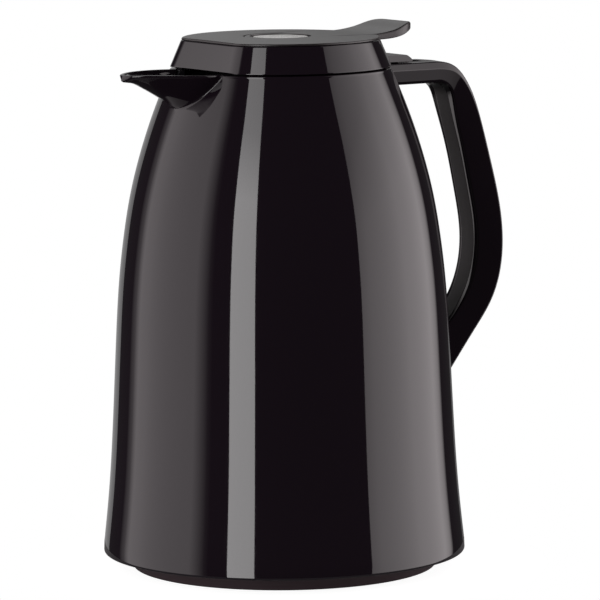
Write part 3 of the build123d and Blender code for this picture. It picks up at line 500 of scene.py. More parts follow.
@dataclass
class BodyShell:
    """Outer shell: a flared body of revolution with a drawn-out spout. Sizes in millimetres."""

    radius: float = 72.39
    mouth_radius: float = 43.9
    bottom_z: float = 6.0
    widest_z: float = 9.0
    top_z: float = 199.7
    edge_round: float = 0.8
    wall: float = 2.6
    spout_start: float = 38.0
    spout_tip: float = 74.87
    spout_power: float = 1.85
    spout_fillet: float = 1.0
    lip: float = 1.5
    lip_round: float = 0.6
    tip_round: float = 1.6
    nose_lean: float = 0.35
    fan_degrees: float = 40.0
    fine_from_z: float = 160.0
    search_start: float = 28.0
    search_steps: int = 320
    fan_step: float = 0.25
    side_step: float = 1.6
    row_step: float = 2.5
    fine_rows: int = 76
    lip_fade: float = 4.0
    least_lip: float = 1.2
    off_spout: float = 10.0
    # Share of the height and of the flare.
    outline: tuple = ((0.0, 1.0), (0.11, 0.923), (0.267, 0.853), (0.435, 0.798), (0.566, 0.74),
                      (0.655, 0.67), (0.739, 0.574), (0.823, 0.432), (0.907, 0.247), (1.0, 0.0))
    # Share of the spout's length, half width, depth of the keel and rise of the rim.
    stations: tuple = ((0.0, 18.2, 19.6, 0.2), (0.25, 19.0, 14.8, 0.4), (0.5, 16.0, 9.3, 0.7),
                       (0.73, 11.6, 4.7, 0.9), (0.87, 7.6, 2.5, 0.9), (1.0, 2.8, 1.9, 0.75))

    def __post_init__(self) -> None:
        """Fit the curves of the outline and of the spout."""
        rise = self.top_z - self.widest_z
        flare = self.radius - self.mouth_radius
        self.side = SmoothCurve([(self.widest_z + z * rise, self.mouth_radius + r * flare)
                                 for z, r in self.outline])
        share, *parts = (np.array(column) for column in zip(*self.stations))
        places = self.spout_start + share * (self.spout_tip - self.spout_start)
        self.width, self.drop, self.lift = (SmoothCurve(list(zip(places, part))) for part in parts)

    def spout_reach(self, angle: Array, height: Array, lip: float) -> Array:
        """How far the spout reaches from the axis along rays in level planes.

        Args:
            angle: Angles from the spout's direction, as a column.
            height: Heights for each angle.
            lip: Wall thickness to stay inside by, or 0 for the outer face.

        Returns:
            Distances, with the shape of height.
        """
        places = np.linspace(self.search_start, self.spout_tip + 0.6, self.search_steps)
        x = places * np.cos(angle)[..., None]
        y = places * np.abs(np.sin(angle))[..., None]
        z = height[..., None]
        inset = lip * 1.1
        keel = self.top_z - self.drop(x) + inset
        rim = self.top_z + self.lift(x) + 0.01
        share = np.clip((z - keel) / np.maximum(rim - keel, 0.2), 0, 1)
        end = self.spout_tip - self.tip_round - inset - np.clip(z - keel, 0, 4) * self.nose_lean
        close = np.sqrt(np.clip(1 - (np.clip(x - end, 0, None) / self.tip_round) ** 2, 0, 1))
        half = np.maximum(self.width(x) - lip, 0.4) * close * share ** (1 / self.spout_power)
        gap = np.where(z < keel, z - keel, half) - y
        gap = np.where(x > end + self.tip_round, end + self.tip_round - x, gap)
        # The last step along each ray that is inside the spout, then the crossing between it and the next.
        inside = gap > 0
        last = len(places) - 1 - np.argmax(inside[..., ::-1], axis=-1)
        last = np.where(inside.any(axis=-1), np.minimum(last, len(places) - 2), 0)
        near = np.take_along_axis(gap, last[..., None], -1)[..., 0]
        far = np.take_along_axis(gap, last[..., None] + 1, -1)[..., 0]
        part = np.where(near > 0, near / np.maximum(near - far, 1e-6), 0)
        return places[last] + np.clip(part, 0, 1) * (places[1] - places[0])

    def face(self, angle: Array, height: Array, inset: float, lip: float) -> Array:
        """Distance of the outer or inner face from the axis, spout included.

        Args:
            angle: Angles from the spout's direction, as a column.
            height: Heights for each angle.
            inset: Body wall to stay inside by.
            lip: Spout wall to stay inside by.

        Returns:
            Distances, with the shape of height.
        """
        plain = self.side(height) - inset
        fan = np.abs(angle[:, 0]) < math.radians(self.fan_degrees)
        reach = plain - self.off_spout
        reach[fan] = self.spout_reach(angle[fan], height[fan], lip)
        return smooth_max(plain, reach, self.spout_fillet)

    def grid(self) -> Array:
        """Work out the shell, from the foot up, over the lip and down inside.

        Returns:
            Sections round the axis (n, m, 3).
        """
        fan = self.fan_degrees
        angle = np.radians(np.concatenate([np.arange(-fan, fan, self.fan_step),
                                           np.arange(fan, 360 - fan, self.side_step)]))
        angle = np.where(angle > math.pi, angle - 2 * math.pi, angle)[:, None]
        edge = self.face(angle, np.full_like(angle, self.top_z), 0.0, 0.0)
        on_spout = np.clip((edge - self.mouth_radius) / self.lip_fade, 0, 1)
        lip_start = self.top_z + self.lift(edge * np.cos(angle)) * on_spout - self.lip_round
        low = np.arange(self.widest_z + 1.0, self.fine_from_z, self.row_step)[None, :]
        low = np.broadcast_to(low, (len(angle), low.shape[1]))
        share = np.linspace(0, 1, self.fine_rows)[None, 1:]
        height = np.hstack([low, self.fine_from_z + (lip_start - self.fine_from_z) * share])
        outer = self.face(angle, height, 0.0, 0.0)
        top_out = outer[:, -1:]
        inner_height = height[:, ::-2]
        inner = self.face(angle, inner_height, self.wall, self.lip)
        inner = np.minimum(inner, np.maximum(top_out - self.least_lip, self.mouth_radius - self.wall))
        top_in = inner[:, :1]
        span = top_out - top_in
        turn = np.radians(np.linspace(12, 90, 8))[None, :]
        bevel = np.minimum(self.lip_round * span / self.wall, span * 0.42) * (1 - np.cos(turn))
        lip_z = lip_start + self.lip_round * np.sin(turn)
        inside = self.radius - self.wall
        foot = rounded([(inside, self.widest_z, 0), (inside, self.bottom_z, 0.4),
                        (self.radius, self.bottom_z, self.edge_round),
                        (self.radius, self.widest_z + 0.5, 0)], 8, closed=False)[1:-1]
        foot_r, foot_z = (np.broadcast_to(foot[:, axis], (len(angle), len(foot))) for axis in (0, 1))
        radius = np.hstack([foot_r, outer, top_out - bevel, (top_in + bevel)[:, ::-1], inner])
        height = np.hstack([foot_z, height, lip_z, lip_z[:, ::-1], inner_height])
        return from_spout(angle, radius, height)

    def build(self) -> None:
        """Make the shell."""
        Skin("shell_skin").grid(self.grid()).piece(GLOSS_ABS, Body.CARAFE, "body_shell", sharp=50)


@dataclass
class BaseCap:
    """Screw-in base with the foot ring and a dished floor. Sizes in millimetres."""

    foot_radius: float = 60.7
    foot_flare: float = 1.9
    ring_width: float = 4.8
    foot_height: float = 7.0
    floor_z: float = 3.0
    floor: float = 2.5
    skirt_radius: float = 68.4
    skirt_draft: float = 1.1
    skirt_wall: float = 2.6
    skirt_top: float = 20.0

    def build(self) -> None:
        """Make the base."""
        inside = self.foot_radius - self.ring_width
        low = self.skirt_radius + self.skirt_draft
        floor_top = self.floor_z + self.floor
        ledge_top = self.foot_height + self.floor
        outline = rounded([
            (0, self.floor_z, 0), (inside - 1, self.floor_z, 0.8), (inside, 0, 0.6),
            (self.foot_radius, 0, 1.0), (self.foot_radius + self.foot_flare, self.foot_height, 0.3),
            (low, self.foot_height, 0.3), (self.skirt_radius, self.skirt_top, 0.3),
            (self.skirt_radius - self.skirt_wall, self.skirt_top, 0.3),
            (low - self.skirt_wall, ledge_top, 0.8), (self.foot_radius - 2, ledge_top, 1.0),
            (inside - 3, floor_top, 1.0), (0, floor_top, 0)])
        Skin("base_skin").grid(turned(outline, 256)).piece(BASE_PP, Body.CARAFE, "base_cap")


@dataclass
class Handle:
    """Side handle: arm, grip and root in one moulding, with an inlay. Sizes in millimetres."""

    reach: float = 103.1
    arm_start: float = 43.0
    arm_start_under: float = 46.6
    arm_end: float = 70.0
    arm_z: float = 199.2
    low_z: float = 61.0
    # Radii of the finger side's and the back's corners, bulge, half width, bevel, and lean in degrees.
    arm_form: tuple[float, ...] = (2.0, 1.5, 0.75, 8.9, 2.9, 11.0)
    grip_form: tuple[float, ...] = (1.2, 1.3, 1.5, 6.8, 0.5, 14.0)
    root_lean: float = 2.5
    finger_crown: float = 85.0
    back_crown: float = 40.0
    back_rise: float = 0.25
    bevel_lean: float = 27.0
    groove_depth: float = 1.2
    inlay_half: float = 3.9
    inlay_gap: float = 0.07
    inlay_depth: float = 0.03
    inlay_start: float = 0.02
    inlay_end: float = 0.88
    arm_sections: int = 24
    grip_sections: int = 190
    inlay_sections: int = 180
    # Share along the grip where its own section is reached, and where and over how much the root leans.
    grip_from: float = 0.22
    root_from: float = 0.6
    root_over: float = 0.3
    hinge_x: float = 63.0
    hinge_z: float = 195.5
    pocket_x: float = 54.2
    pocket_z: float = 193.4
    pocket_half: float = 3.8
    hub_reach: float = 3.5
    # Share of the way from the arm's end to the reach, and from the lowest point up to the arm.
    outer: tuple = ((0.0, 1.0), (0.265, 0.987), (0.473, 0.935), (0.625, 0.854), (0.827, 0.697),
                    (1.0, 0.457), (0.958, 0.368), (0.815, 0.281), (0.551, 0.197), (-0.164, 0.0))
    inner: tuple = ((0.06, 0.9385), (0.208, 0.922), (0.307, 0.873), (0.467, 0.752), (0.616, 0.601),
                    (0.693, 0.467), (0.655, 0.384), (0.521, 0.303), (0.253, 0.221), (-0.164, 0.13))

    def __post_init__(self) -> None:
        """Fit the two outlines of the grip."""
        self.outer_track, self.inner_track = (self.track(shares) for shares in (self.outer, self.inner))

    def track(self, shares: Sequence[tuple[float, float]]) -> Track:
        """Fit an outline of the grip, with two points in front of it that keep its start level.

        Args:
            shares: Points as shares of the grip's length and height.

        Returns:
            The outline, measured from its first point.
        """
        points = [(self.arm_end + x * (self.reach - self.arm_end),
                   self.low_z + z * (self.arm_z - self.low_z)) for x, z in shares]
        lead = [(points[0][0] - back, points[0][1]) for back in (16.0, 8.0)]
        return Track(lead + points, start=len(lead))

    def form(self, share: float) -> Array:
        """Sizes of the section, which change softly from the arm's to the grip's.

        Args:
            share: Share of the way along the grip, 0 on the arm.

        Returns:
            The values that arm_form names.
        """
        blend = min(max(share / self.grip_from, 0.0), 1.0)
        blend = blend * blend * (3 - 2 * blend)
        return np.array(self.arm_form) * (1 - blend) + np.array(self.grip_form) * blend

    def flank(self, across: Any) -> Array:
        """Depth of the crowned finger side below its middle line, by the distance across it."""
        return np.asarray(across) ** 2 / (2 * self.finger_crown)

    def place(self, bulge: float, flat: Array, inside: Array, outside: Array) -> Array:
        """Put a flat section into the handle.

        Args:
            bulge: How far the finger side stands out from its outline.
            flat: Points (across, depth from the finger side).
            inside: Point (x, z) on the finger side.
            outside: Point (x, z) on the far side.

        Returns:
            Points (m, 3).
        """
        along = (outside - inside) / np.linalg.norm(outside - inside)
        depth = flat[:, 1] - bulge
        return columns(inside[0] + along[0] * depth, flat[:, 0], inside[1] + along[1] * depth)

    def section(self, share: float, inside: Array, outside: Array, groove: float) -> Array:
        """One section of the handle between its two outlines.

        Args:
            share: Share of the way along the grip, 0 on the arm.
            inside: Point (x, z) on the finger side.
            outside: Point (x, z) on the far side.
            groove: Depth of the inlay's groove.

        Returns:
            Points (m, 3) round the section.
        """
        near, far, bulge, wide, bevel, lean = (float(value) for value in self.form(share))
        at_root = min(max((share - self.root_from) / self.root_over, 0.0), 1.0)
        lean = math.radians(lean + self.root_lean * at_root)
        depth = float(np.linalg.norm(outside - inside)) + bulge
        begin = (wide - near) / self.finger_crown
        turn = np.linspace(begin, math.pi / 2 - lean, 9)
        corner = columns(wide - near + near * (np.sin(turn) - math.sin(begin)),
                         self.flank(wide - near) + near * (math.cos(begin) - np.cos(turn)))
        half, low = corner[-1]
        shoulder = depth - self.back_rise
        middle = shoulder - bevel
        # Points close to each round keep the flat side's reflection straight.
        right = [(half + (down - low) * math.tan(lean), down, radius)
                 for down, radius in ((low, 0), (low + 0.3, 0), (middle - 0.7, 0), (middle, 1.0))]
        right.append((right[-1][0] - bevel * math.tan(math.radians(self.bevel_lean)), shoulder, far))
        left = [(-across, down, radius) for across, down, radius in right]
        back = rounded([*left, (0, depth, self.back_crown), *right[::-1]], 8)
        slot = self.inlay_half + self.inlay_gap
        side = slot + np.array([0.0, 0.01, 0.06, 0.4])
        wall = columns(side, [*(self.flank(slot) + (groove, 0.02)), *self.flank(side[2:])])
        flat = np.vstack([wall * (-1, 1), corner * (-1, 1), back[1:-1], corner[::-1], wall[::-1]])
        return self.place(bulge, flat, inside, outside)

    def build(self) -> None:
        """Make the handle with the hinge's pocket, and its inlay."""
        under, under_z = self.inner_track.spots[0]
        sections = [self.section(0.0, np.array([low, under_z]), np.array([high, self.arm_z]), 0.0)
                    for low, high in zip(np.linspace(self.arm_start_under, under, self.arm_sections)[:-1],
                                         np.linspace(self.arm_start, self.arm_end, self.arm_sections)[:-1])]
        ends = [end + side * 1e-4 for end in (self.inlay_start, self.inlay_end) for side in (-1, 1)]
        for share in np.unique(np.concatenate([np.linspace(0, 1, self.grip_sections), ends])):
            groove = self.groove_depth if self.inlay_start < share < self.inlay_end else 0.0
            sections.append(self.section(
                float(share), self.inner_track.at(share), self.outer_track.at(share), groove))
        skin = Skin("handle_skin").grid(sections, around=False)
        made = skin.piece(GLOSS_ABS, Body.CARAFE, "handle_shell", sharp=42)
        end, above = self.hinge_x + self.hub_reach, self.arm_z + 3
        pocket = rounded([(self.pocket_x, self.pocket_z, 0.6), (self.hinge_x, self.pocket_z - 1.2, 0.0),
                          (end, self.hinge_z - 1.0, 2.4), (end, above, 0), (self.pocket_x, above, 0)])
        carve(made, Skin("pocket_cutter").slab(pocket, -self.pocket_half, self.pocket_half), 42)
        self.inlay()

    def inlay(self) -> None:
        """Make the inlay on the finger side of the grip."""
        across = np.linspace(-self.inlay_half, self.inlay_half, 25)
        face = columns(across, self.flank(across) + self.inlay_depth)
        flat = np.vstack([face[:1] + (0, 1.0), face, face[-1:] + (0, 1.0)])
        sections = []
        for share in np.linspace(self.inlay_start + 4e-4, self.inlay_end - 4e-4, self.inlay_sections):
            ends = self.inner_track.at(share), self.outer_track.at(share)
            sections.append(self.place(self.form(share)[2], flat, *ends))
        Skin("inlay_skin").grid(sections, around=False).piece(INLAY_ABS, Body.CARAFE, "handle_cover")


@dataclass
class Lid:
    """Lid: tapered skirt with a leaning facet, crowned cover and hinge leaf. Sizes in millimetres."""

    low_z: float = 200.3
    height: float = 11.1
    radius: float = 44.0
    top_radius: float = 39.3
    facet: float = 37.8
    facet_top: float = 33.6
    facet_lift: float = 0.9
    crease: float = 1.7
    wall: float = 2.0
    skirt_top_z: float = 210.95
    cover_z: float = 211.1
    cover_gap: float = 0.1
    cover_deep: float = 1.6
    cover_wall: float = 2.4
    cover_chamfer: float = 0.15
    cover_narrow: float = 5.0
    rim_round: float = 0.5
    rim_drop: float = 0.45
    slot_round: float = 0.3
    cover_edge_z: float = 211.93
    cover_top_z: float = 212.45
    slot_half: float = 14.75
    notch_z: float = 206.6
    leaf_half: float = 7.4
    leaf_z: float = 202.4
    leaf_room: float = 0.15
    hinge_x: float = 63.0
    hinge_z: float = 195.5
    hub_radius: float = 3.2
    web_half: float = 3.5
    side_gap: float = 0.3
    # Side of the leaf: distance behind the axis, height and radius of each corner.
    leaf_side: tuple = ((37.3, 200.0, 0.2), (37.3, 202.42, 0), (29.5, 202.42, 0.2), (29.5, 205.0, 0.3),
                        (37.5, 205.0, 0.3), (39.0, 202.4, 0.3), (52.0, 202.4, 0.0),
                        (56.6, 202.3, 2.6), (58.6, 200.9, 1.6), (59.7, 199.5, 0.3),
                        (45.1, 199.5, 0.1), (45.1, 200.0, 0.1))
    # Steps of its rounded rim: how far in from that side, and how far from the half width.
    leaf_edge: tuple = ((0.3, 0.0), (0.09, 0.15), (0.0, 0.5))
    # Side of the web under the leaf, down to the hub.
    web: tuple = ((54.6, 199.7), (59.3, 199.7), (64.6, 197.1), (63.0, 193.9), (54.6, 197.7))

    def outline(self, angle: Array, z: Any, inset: float) -> Array:
        """Distance of the lid's side from the axis.

        Args:
            angle: Angles from the spout's direction.
            z: Height, as a number or an array of the same shape.
            inset: Wall to stay inside by.

        Returns:
            Distances.
        """
        up = (np.asarray(z) - self.low_z) / self.height
        cone = self.radius + (self.top_radius - self.radius) * up - inset
        plane = self.facet + (self.facet_top - self.facet) * up - inset
        ahead = np.cos(angle)
        flat = np.where(ahead > 0.3, plane / np.maximum(ahead, 0.3), 1e3)
        return -smooth_max(-cone, -flat, self.crease)

    def angles(self, breaks: Sequence[float]) -> Array:
        """Angles round the lid, fine near the facet's creases, with a pair at each break.

        Args:
            breaks: Angles in degrees from the handle's direction where the section jumps.

        Returns:
            Angles in radians from the spout's direction, in rising order.
        """
        jumps = (180 - at + shift for at in breaks for shift in (-0.004, 0.004))
        one_side = [*np.arange(24, 44, 0.4), *jumps]
        both = np.outer((-1, 1), one_side).ravel()
        return np.radians(np.unique(np.round(np.concatenate([np.arange(-180, 180, 1.5), both]), 4)))

    def skirt(self) -> None:
        """Make the skirt with the notches for the lever and the hinge leaf."""
        lever_break = math.degrees(math.asin(self.slot_half / (self.top_radius - self.wall)))
        leaf_break = math.degrees(math.asin((self.leaf_half + self.side_gap) / (self.radius - 1.0)))
        sections = []
        for angle in self.angles([lever_break, leaf_break]):
            behind = 180 - abs(math.degrees(angle))
            top = self.notch_z if behind < lever_break else self.skirt_top_z
            low = self.leaf_z + self.leaf_room if behind < leaf_break else self.low_z
            lift = self.facet_lift * np.clip(self.radius - self.outline(angle, self.low_z, 0.0), 0, 1)
            flat = rounded([(self.wall, low + lift, 0.2), (0, low, 0.35), (0, top, 0.35),
                            (self.wall, top, 0.2)], 4)
            radius = self.outline(angle, flat[:, 1], 0.0) - flat[:, 0]
            sections.append(from_spout(angle, radius, flat[:, 1]))
        Skin("lid_skirt").grid(sections).piece(GLOSS_ABS, Body.LID, "lid_shell", sharp=38)

    def crown(self, radius: Array) -> Array:
        """Height of the cover's top at a distance from the axis."""
        return self.cover_top_z - (self.cover_top_z - self.cover_edge_z) * (radius / self.top_radius) ** 2

    def cover(self) -> None:
        """Make the crowned cover with the lever's slot."""
        rear = self.outline(math.pi, self.cover_z, self.cover_gap)
        limit = math.radians(180 - math.degrees(math.asin(self.slot_half / rear)) - 0.05)
        inside = self.angles([])
        low, foot = self.cover_z - self.cover_deep, self.cover_z
        rim, brim = 1 - arc(0, 90, 6), 1 - arc(90, 0, 5)
        drop = np.concatenate([self.rim_drop * rim[:, 1], np.zeros(7), self.slot_round * brim[:, 1]])
        sections = []
        for angle in (-limit, *inside[np.abs(inside) < limit], limit):
            outer = float(self.outline(angle, self.cover_z, self.cover_gap))
            behind = min(math.pi - abs(angle), math.pi / 2)
            inner = min(self.slot_half / max(math.sin(behind), 1e-6), outer - 0.25)
            width = outer - inner
            under = [(self.cover_wall, low), (self.cover_wall, foot), (self.cover_chamfer, foot)]
            if width <= self.cover_narrow:
                under = [(0.05, low), (0.03, foot), (0.02, foot + 0.05)]
            under.append((0.0, foot + self.cover_chamfer))
            radius = np.concatenate([outer - 0.05 - min(self.rim_round, width * 0.4) * rim[:, 0],
                                     outer - width * np.linspace(0, 1, 9)[1:-1],
                                     inner + self.slot_round * min(1, width) * brim[:, 0]])
            flat = np.vstack([[(outer - back, z) for back, z in under],
                              columns(radius, self.crown(radius) - drop), [(inner, low)]])
            sections.append(from_spout(angle, flat[:, 0], flat[:, 1]))
        Skin("lid_cover").grid(sections, around=False).piece(SATIN_ABS, Body.LID, "lid_top", sharp=40)

    def leaf(self) -> None:
        """Make the hinge leaf with its web and hub."""
        side = rounded(self.leaf_side, 6)
        middle = side.mean(axis=0)
        away = side - middle
        length = np.maximum(np.linalg.norm(away, axis=1, keepdims=True), 1.0)
        rims = []
        for hand, steps in ((-1, self.leaf_edge), (1, self.leaf_edge[::-1])):
            for inward, less in steps:
                ring = middle + away * (1 - inward / length)
                rims.append(columns(ring[:, 0], hand * (self.leaf_half - less), ring[:, 1]))
        skin = Skin("hinge_leaf_skin").grid(rims, around=False)
        skin.slab(np.array(self.web), -self.web_half, self.web_half)
        hub = arc(0, 351, 40) * self.hub_radius + (self.hinge_x, self.hinge_z)
        skin.slab(hub, 0.02 - self.web_half, self.web_half - 0.02)
        skin.piece(GLOSS_ABS, Body.LID, "hinge_leaf", sharp=35)

    def build(self) -> None:
        """Make the three visible pieces of the lid."""
        self.skirt()
        self.cover()
        self.leaf()


@dataclass
class Lever:
    """Thumb lever with its pad, lugs and bare metal plate. Sizes in millimetres."""

    flush_z: float = 212.3
    half: float = 14.5
    tip: float = 60.1
    skin: float = 2.6
    edge_round: float = 0.8
    recess_radius: float = 12.2
    recess: float = 1.1
    pivot_x: float = 27.0
    pivot_z: float = 206.5
    lug_half: float = 2.8
    stem_lug_z: float = 203.5
    # Near and far side of the lugs, from the middle plane.
    pivot_lugs: tuple[float, float] = (8.4, 10.8)
    stem_lugs: tuple[float, float] = (3.1, 4.9)
    # Height over the flush level by the distance from the middle, for the top and for the underside.
    crest: tuple = ((-14.5, 0.0), (0.0, 0.0), (14.5, 0.0), (27, -0.1), (36, -0.2), (42, 0.4),
                    (47, 1.4), (51, 2.7), (56, 3.6), (60.1, 2.75))
    belly: tuple = ((-14.5, -2.6), (14.5, -2.6), (30, -2.6), (37, -2.6), (44, -2.35), (51, -1.1),
                    (57, 0.6), (60.1, 1.2))
    # Side of the plate: distance from its middle, height over the recess's floor and radius of each corner.
    plate: tuple = ((0.0, 0.02, 0.0), (10.9, 0.02, 0.1), (10.9, 0.78, 0.25), (5.4, 1.0, 8.0),
                    (0.0, 1.1, 0.0))

    def grid(self) -> Array:
        """Work out the lever's rings.

        Returns:
            Points (n, m, 3) from the recess's middle over the edge to the middle of the underside.
        """
        top, under = SmoothCurve(self.crest), SmoothCurve(self.belly)
        rear = self.tip - self.half
        run = np.linspace(0, rear, 60)[1:-1]
        edge = np.vstack([arc(90, 270, 90) * self.half, columns(run, -self.half),
                          arc(-90, 90, 90) * self.half + (rear, 0), columns(run[::-1], self.half)])
        spine = columns(np.clip(edge[:, 0], 0, rear), 0.0)
        bearing = np.arctan2(edge[:, 1], np.where(edge[:, 0] > 0, edge[:, 0] * 0.55, edge[:, 0]))
        rim = self.recess_radius * columns(np.cos(bearing), np.sin(bearing))
        floor = self.flush_z - self.recess
        rings = [(rim * share, floor) for share in (0.0, 0.5, 0.9, 0.985)]
        rings += [(rim, floor + 0.1), (rim, self.flush_z - 0.2), (rim * 1.004, self.flush_z - 0.06)]
        for share in (*np.linspace(0.03, 0.9, 44), *(1 - 0.1 * np.linspace(1, 0, 26)[1:] ** 1.6)):
            place = rim + (edge - rim) * share
            beside = np.hypot(place[:, 0] - np.clip(place[:, 0], 0, rear), place[:, 1])
            near = np.clip(1 - np.clip(self.half - beside, 0, None) / self.edge_round, 0, 1)
            drop = self.edge_round * (1 - np.sqrt(1 - near ** 2))
            thick = top(place[:, 0]) - under(place[:, 0])
            rings.append((place, self.flush_z + top(place[:, 0]) - np.minimum(drop, 0.5 * thick)))
        low = self.flush_z + under(edge[:, 0])
        bevel = np.minimum(0.4, 0.35 * (top(edge[:, 0]) - under(edge[:, 0])))
        out = (edge - spine) / self.half
        for across, up in 1 - arc(0, 90, 4):
            rings.append((edge - out * (bevel * across)[:, None], low + bevel * up))
        for share in (0.9, 0.6, 0.3, 0.0):
            place = spine + (edge - spine) * share
            rings.append((place, self.flush_z + under(place[:, 0])))
        return np.stack([columns(place[:, 0], place[:, 1], height) for place, height in rings], axis=1)

    def lugs(self, skin: Skin) -> None:
        """Add the pivot lugs and the slotted lugs under the lever.

        Args:
            skin: Skin of the lever.
        """
        wide, under = self.lug_half, self.flush_z - self.skin + 0.1
        pivot = np.vstack([arc(180, 360, 16) * wide + (self.pivot_x, self.pivot_z),
                           [(self.pivot_x + wide, under), (self.pivot_x - wide, under)]])
        stem = np.array([(-wide, self.stem_lug_z), (wide, self.stem_lug_z), (wide, under), (-wide, under)])
        for side in (-1, 1):
            for outline, near, far in ((pivot, *self.pivot_lugs), (stem, *self.stem_lugs)):
                skin.slab(outline, *sorted((side * near, side * far)))

    def build(self) -> None:
        """Make the lever and the plate in its recess."""
        skin = Skin("lever_skin").grid(self.grid(), closed=False)
        self.lugs(skin)
        skin.piece(SATIN_ABS, Body.LEVER, "lever", sharp=40)
        floor = self.flush_z - self.recess
        plate = rounded([(away, floor + up, radius) for away, up, radius in self.plate], 6, closed=False)
        Skin("badge_plate").grid(turned(plate, 160), closed=False).piece(ALUMINIUM, Body.LEVER, "badge")


@dataclass(frozen=True)
class Panel:
    """A soft panel light. Sizes in metres, brightness where 1 is white."""

    name: str
    bearing: float
    distance: float
    width: float
    low: float
    high: float
    radiance: float
    across: tuple[tuple[float, float], ...]
    upward: tuple[tuple[float, float], ...]
    tint: tuple[float, float, float, float]


SOFT_WHITE = (1.0, 0.93, 0.945, 1.0)

# The bearing runs from the camera to the right. Brightness goes from left to right and from low to high.
PANELS = (
    Panel("strip_panel", -27.1, 1.5, 0.45, -0.4, 2.0, 5.9,
          ((0.0, 1.0), (1.0, 0.93)),
          ((0.0, 1.0), (0.435, 1.0), (0.617, 0.63), (0.81, 0.54), (1.0, 0.4)), (1.0, 0.98, 0.985, 1.0)),
    Panel("left_panel", -88.0, 1.2, 2.0, -1.0, 1.8, 1.44,
          ((0.0, 0.0), (0.11, 0.25), (0.2, 0.9), (0.32, 1.0), (0.8, 0.97), (0.885, 0.45),
           (0.95, 0.08), (1.0, 0.0)),
          ((0.0, 0.9), (0.21, 0.96), (0.41, 1.0), (0.61, 0.95), (1.0, 0.7)), SOFT_WHITE),
    Panel("right_panel", 95.0, 1.2, 1.96, -0.6, 1.8, 2.85,
          ((0.0, 0.56), (0.12, 0.72), (0.5, 1.0), (0.8, 0.82), (0.93, 0.4), (1.0, 0.0)),
          ((0.0, 0.28), (0.14, 0.28), (0.165, 0.92), (0.308, 1.0), (0.41, 0.95), (0.5, 0.79),
           (0.58, 0.64), (0.667, 0.59), (1.0, 0.45)), SOFT_WHITE),
)


@dataclass(frozen=True)
class Paper:
    """Pale stage paper that keeps shadows and still looks white to the camera.

    Gloss and transmission rays see it dimmer, because the body in the photograph mirrors a dark room.
    """

    name: str
    albedo: float
    glow: float
    mirrored_low: float
    mirrored_high: float
    right_dim: float = 0.35

    def material(self) -> bpy.types.Material:
        """Make the paper's material.

        Returns:
            The new material.
        """
        made = bpy.data.materials.new(self.name)
        tree = bare_tree(made)
        path = add(tree, "ShaderNodeLightPath").outputs
        place = add(tree, "ShaderNodeTexCoord").outputs["Object"]
        sides = add(tree, "ShaderNodeSeparateXYZ", {"Vector": place}).outputs
        low = self.mirrored_low
        across = add(tree, "ShaderNodeMapRange", {"Value": sides["X"]},
                     {"From Min": -0.22, "From Max": -0.12, "To Min": low * self.right_dim, "To Max": low})
        upward = add(tree, "ShaderNodeMapRange", {"Value": sides["Z"]}, {"From Min": 0.45, "From Max": 0.65})
        sheen = add(tree, "ShaderNodeMix", {"Factor": upward.outputs[0], 2: across.outputs[0]},
                    {3: self.mirrored_high})
        mirrored = add(tree, "ShaderNodeMath", {0: path["Is Glossy Ray"], 1: path["Is Transmission Ray"]},
                       operation="MAXIMUM")
        dimmed = add(tree, "ShaderNodeMath", {0: mirrored.outputs[0], 1: sheen.outputs[0]},
                     operation="MULTIPLY")
        amount = add(tree, "ShaderNodeMath", {0: path["Is Camera Ray"], 2: dimmed.outputs[0]},
                     {1: self.glow}, operation="MULTIPLY_ADD")
        light = add(tree, "ShaderNodeEmission", {"Strength": amount.outputs[0]}, {"Color": (1, 1, 1, 1)})
        paper = add(tree, "ShaderNodeBsdfDiffuse", values={"Color": (*[self.albedo] * 3, 1)})
        both = add(tree, "ShaderNodeAddShader", {0: light.outputs[0], 1: paper.outputs[0]})
        add(tree, "ShaderNodeOutputMaterial", {"Surface": both.outputs[0]})
        return made


